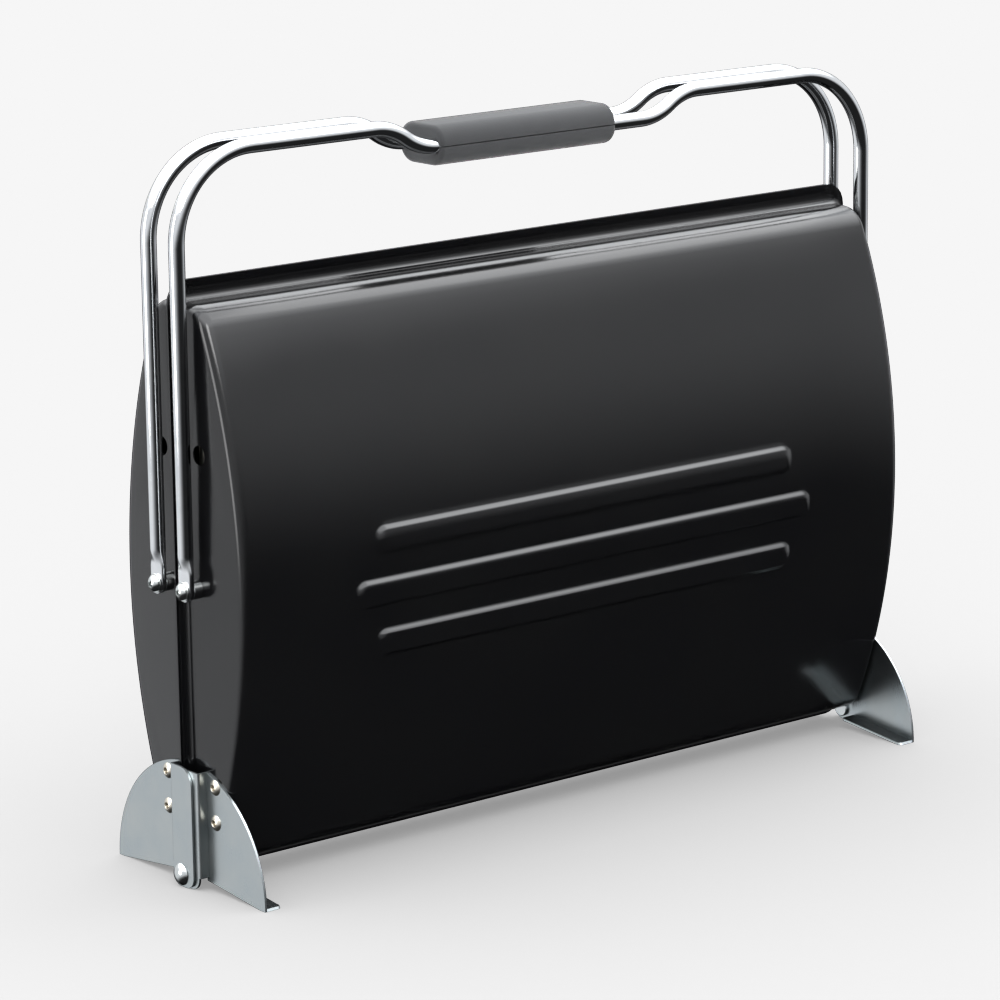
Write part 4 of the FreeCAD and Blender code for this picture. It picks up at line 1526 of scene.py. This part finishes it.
@dataclass
class HingeRivet:
    """The domed rivet that joins the two leg strips on one side."""

    word: str
    axis: tuple[float, float] = (-1.5 * MM, 6.3 * MM)
    inner: float = 229.7 * MM
    strip_in: float = 231.3 * MM
    strip_out: float = 234.1 * MM
    head_radius: float = 5.8 * MM
    head_rise: float = 3.0 * MM
    head_edge: float = 0.2 * MM
    shank: float = 3.0 * MM
    tail: float = 4.8 * MM
    tail_edge: tuple[float, float] = (0.4 * MM, 0.5 * MM)  # Along the pin and across it.
    steps: int = 56

    def build(self, finishes: Finishes) -> bpy.types.Object:
        """Builds and dresses the rivet.

        Args:
            finishes: The grill's materials.

        Returns:
            The rivet, riding on the hinge.
        """
        rim, rise = self.strip_out + self.head_edge, self.head_rise - self.head_edge
        profile = [
            *dome_profile(rim, self.head_radius, rise),
            (self.strip_out, self.head_radius - self.head_edge),
            (self.strip_out, self.shank),
            (self.strip_in, self.shank),
            (self.strip_in, self.tail),
            (self.inner + self.tail_edge[0], self.tail),
            (self.inner, self.tail - self.tail_edge[1]),
            (self.inner, 0.0),
        ]
        bm = bmesh.new()
        add_turned(bm, profile, 1 if self.word == "right" else -1, self.axis, self.steps)
        piece = finish_turned(bm, f"hinge_dome_{self.word}")
        dress(piece, finishes.fastener)
        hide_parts(f"hinge_rivet_{self.word}")
        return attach(piece, "hinge")


@dataclass
class TrimmedPart:
    """A copy of a CAD node with broken edges, so that they catch the light."""

    node: str
    body: str
    slot: str
    edge: float
    segments: int = 2
    flat_within: float = 1.0  # Degrees within which faces count as one plane.
    sharp_from: float = 40.0  # Degrees from which an edge is broken.

    def build(self, material: bpy.types.Material) -> bpy.types.Object:
        """Builds and dresses the part.

        Args:
            material: The part's finish.

        Returns:
            The part, riding on its body.
        """
        source = bpy.data.objects[self.node]
        bm = bmesh.new()
        bm.from_mesh(source.data)
        bmesh.ops.remove_doubles(bm, verts=bm.verts, dist=WELD)
        bmesh.ops.dissolve_limit(
            bm,
            angle_limit=math.radians(self.flat_within),
            use_dissolve_boundaries=False,
            verts=bm.verts,
            edges=bm.edges,
        )
        piece = finished_object(bm, f"{self.node}_trimmed", self.sharp_from)
        broken = piece.modifiers.new("broken_edges", "BEVEL")
        broken.width = self.edge
        broken.segments = self.segments
        broken.limit_method = "ANGLE"
        broken.angle_limit = math.radians(self.sharp_from)
        broken.harden_normals = True
        dress(piece, material)
        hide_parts(self.node)
        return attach(piece, self.body)


# Camera, light and floor


@dataclass(frozen=True)
class Viewpoint:
    """Where the camera stands and how it is turned, in degrees."""

    place: tuple[float, float, float] = (-1.4262, -1.7232, 0.6855)
    heading: float = 39.213
    dip: float = 13.091
    roll: float = -0.715
    lens_mm: float = 154.45
    sensor_mm: float = 36.0
    clip_end: float = 50.0

    def build(self) -> bpy.types.Object:
        """Makes the scene's camera.

        Returns:
            The camera.
        """
        data = bpy.data.cameras.new("view")
        data.lens = self.lens_mm
        data.sensor_width = self.sensor_mm
        data.clip_end = self.clip_end
        camera = bpy.data.objects.new("view", data)
        turn = (
            Matrix.Rotation(-math.radians(self.heading), 4, "Z")
            @ Matrix.Rotation(math.pi / 2 - math.radians(self.dip), 4, "X")
            @ Matrix.Rotation(math.radians(self.roll), 4, "Z")
        )
        camera.matrix_world = Matrix.Translation(self.place) @ turn
        bpy.context.scene.collection.objects.link(camera)
        bpy.context.scene.camera = camera
        return camera


@dataclass(frozen=True)
class Softbox:
    """One rectangular studio light, aimed at the grill."""

    name: str
    place: tuple[float, float, float]
    width: float
    height: float
    watts: float
    aim: tuple[float, float, float] = (0.0, 0.0, 0.19)
    only: str = ""

    def build(self) -> bpy.types.Object:
        """Makes the light; one for a single piece casts no shadow and lights nothing else.

        Returns:
            The light.
        """
        data = bpy.data.lights.new(self.name, "AREA")
        data.shape = "RECTANGLE"
        data.size = self.width
        data.size_y = self.height
        data.energy = self.watts
        data.use_shadow = not self.only
        lamp = bpy.data.objects.new(self.name, data)
        if self.only:
            lit = bpy.data.collections.new(f"{self.name}_lights")
            lit.objects.link(bpy.data.objects[self.only])
            lamp.light_linking.receiver_collection = lit
        lamp.location = self.place
        run = Vector(self.aim) - Vector(self.place)
        lamp.rotation_euler = run.to_track_quat("-Z", "Y").to_euler()
        bpy.context.scene.collection.objects.link(lamp)
        return lamp


@dataclass(frozen=True)
class Studio:
    """A pale floor that fades into an even pale backdrop, and soft lights."""

    backdrop: str = "#F6F6F6"
    bright_side: tuple[float, float, float] = (-0.03, 0.4, 1.0)
    bright: float = 1.05
    dark: float = 0.02
    overhead: float = 4.4
    flag_side: tuple[float, float, float] = (0.62, 0.75, -0.9)
    flag: float = 0.9
    # The lean towards each light or flag where it starts and where it is full.
    glow_from: float = -0.5
    glow_to: float = -0.08
    overhead_from: float = 0.34
    overhead_to: float = 0.68
    flag_from: float = 0.6
    flag_to: float = 0.78
    tint: str = "#FAFCFF"
    floor_size: float = 12.0
    boxes: tuple[Softbox, ...] = (
        Softbox("top_box", (1.5, -0.15, 2.2), 2.2, 0.9, 12.0),
        Softbox("near_box", (-2.3, -2.5, 2.2), 1.3, 1.3, 50.0),
        Softbox("left_box", (-1.97, 0.5, 0.4), 0.7, 1.2, 14.0),
        Softbox("floor_wash", (0.0, 0.0, 3.0), 6.0, 6.0, 1000.0, only="floor"),
    )

    def build(self) -> None:
        """Makes the floor, the backdrop and the lights."""
        self.build_world()
        self.build_floor()
        for box in self.boxes:
            box.build()

    def build_world(self) -> None:
        """Lights the grill from above, left and behind; the camera sees the plain backdrop."""
        world = bpy.data.worlds.new("studio")
        world.use_nodes = True
        bpy.context.scene.world = world
        tree = world.node_tree
        seen = tree.nodes["Background"]
        seen.inputs["Color"].default_value = linear(self.backdrop)
        heading = add_node(tree, "ShaderNodeTexCoord").outputs["Generated"]
        tilt = Vector(self.bright_side).normalized()
        lean = add_node(
            tree, "ShaderNodeVectorMath", {0: heading, 1: tilt}, operation="DOT_PRODUCT"
        )
        glow = add_node(
            tree,
            "ShaderNodeMapRange",
            {
                "Value": lean.outputs["Value"],
                "From Min": self.glow_from,
                "From Max": self.glow_to,
                "To Min": self.dark,
                "To Max": self.bright,
            },
            interpolation_type="SMOOTHSTEP",
        )
        height = add_node(tree, "ShaderNodeSeparateXYZ", {0: heading})
        overhead = add_node(
            tree,
            "ShaderNodeMapRange",
            {
                "Value": height.outputs["Z"],
                "From Min": self.overhead_from,
                "From Max": self.overhead_to,
                "To Max": self.overhead,
            },
        )
        # A dark flag behind the grill draws a thin dark line round the bright wire.
        behind = add_node(
            tree,
            "ShaderNodeVectorMath",
            {0: heading, 1: Vector(self.flag_side).normalized()},
            operation="DOT_PRODUCT",
        )
        held_back = add_node(
            tree,
            "ShaderNodeMapRange",
            {
                "Value": behind.outputs["Value"],
                "From Min": self.flag_from,
                "From Max": self.flag_to,
                "To Min": 1.0,
                "To Max": 1.0 - self.flag,
            },
            interpolation_type="SMOOTHSTEP",
        )
        flagged = add_node(
            tree,
            "ShaderNodeMath",
            {0: glow.outputs["Result"], 1: held_back.outputs["Result"]},
            operation="MULTIPLY",
        )
        total = add_node(
            tree, "ShaderNodeMath", {0: flagged.outputs["Value"], 1: overhead.outputs["Result"]}
        )
        lit = add_node(
            tree,
            "ShaderNodeBackground",
            {"Color": linear(self.tint), "Strength": total.outputs["Value"]},
        )
        path = add_node(tree, "ShaderNodeLightPath")
        mix = add_node(
            tree,
            "ShaderNodeMixShader",
            {0: path.outputs["Is Camera Ray"], 1: lit.outputs[0], 2: seen.outputs[0]},
        )
        tree.links.new(mix.outputs[0], tree.nodes["World Output"].inputs["Surface"])

    def build_floor(self) -> None:
        """Makes a floor that shows only the grill's soft shadow on the backdrop."""
        bm = bmesh.new()
        bmesh.ops.create_grid(bm, x_segments=1, y_segments=1, size=self.floor_size)
        floor = finished_object(bm, "floor")
        floor.is_shadow_catcher = True
        floor.visible_glossy = False


# The whole grill


class CampGrill:
    """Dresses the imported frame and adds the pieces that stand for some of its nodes."""

    def __init__(self, frame: dict[str, Any]) -> None:
        """Keeps the frame's nodes and makes the finishes."""
        self.nodes = frame["nodes"]
        self.finishes = Finishes()

    def build(self) -> None:
        """Builds every piece in order."""
        self.dress_nodes()
        for side in Side:
            self.report(PressedTray(side).build(self.finishes))
            self.report(BentHandle(side).build(self.finishes))
            for piece in Fasteners(side).build(self.finishes):
                self.report(piece)
        for word in ("left", "right"):
            self.report(HingeRivet(word).build(self.finishes))
        self.report(FoamGrip().build(self.finishes))
        self.trim_parts()

    def trim_parts(self) -> None:
        """Breaks the edges of the leg plates."""
        for side in Side:
            for end in ("left", "right"):
                node, body = f"{side.word}_leg_{end}", f"{side.word}_half"
                part = TrimmedPart(node, body, "zinc_plate", 0.28 * MM)
                self.report(part.build(self.finishes.zinc))

    def dress_nodes(self) -> None:
        """Gives each CAD node the finish that its name calls for."""
        looks = {
            "shell": self.finishes.enamel,
            "leg_left": self.finishes.zinc,
            "leg_right": self.finishes.zinc,
            "leg_rivets": self.finishes.rivet,
            "handle": self.finishes.chrome,
            "grid": self.finishes.grid,
            "grate": self.finishes.grid,
            "clips": self.finishes.zinc,
            "grip": self.finishes.foam,
        }
        for name, node in self.nodes.items():
            found = next((m for ending, m in looks.items() if name.endswith(ending)), None)
            dress_node(node, found or self.finishes.fastener)
            log.info("%s: dressed", name)

    def report(self, piece: bpy.types.Object) -> None:
        """Logs a finished piece."""
        log.info("%s: %d faces", piece.name, len(piece.data.polygons))


def main() -> None:
    """Builds the camera, the studio and the grill around the frame."""
    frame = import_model()
    Viewpoint().build()
    Studio().build()
    CampGrill(frame).build()
    bpy.context.scene.view_settings.view_transform = "Standard"


if __name__ == "__main__":
    main()
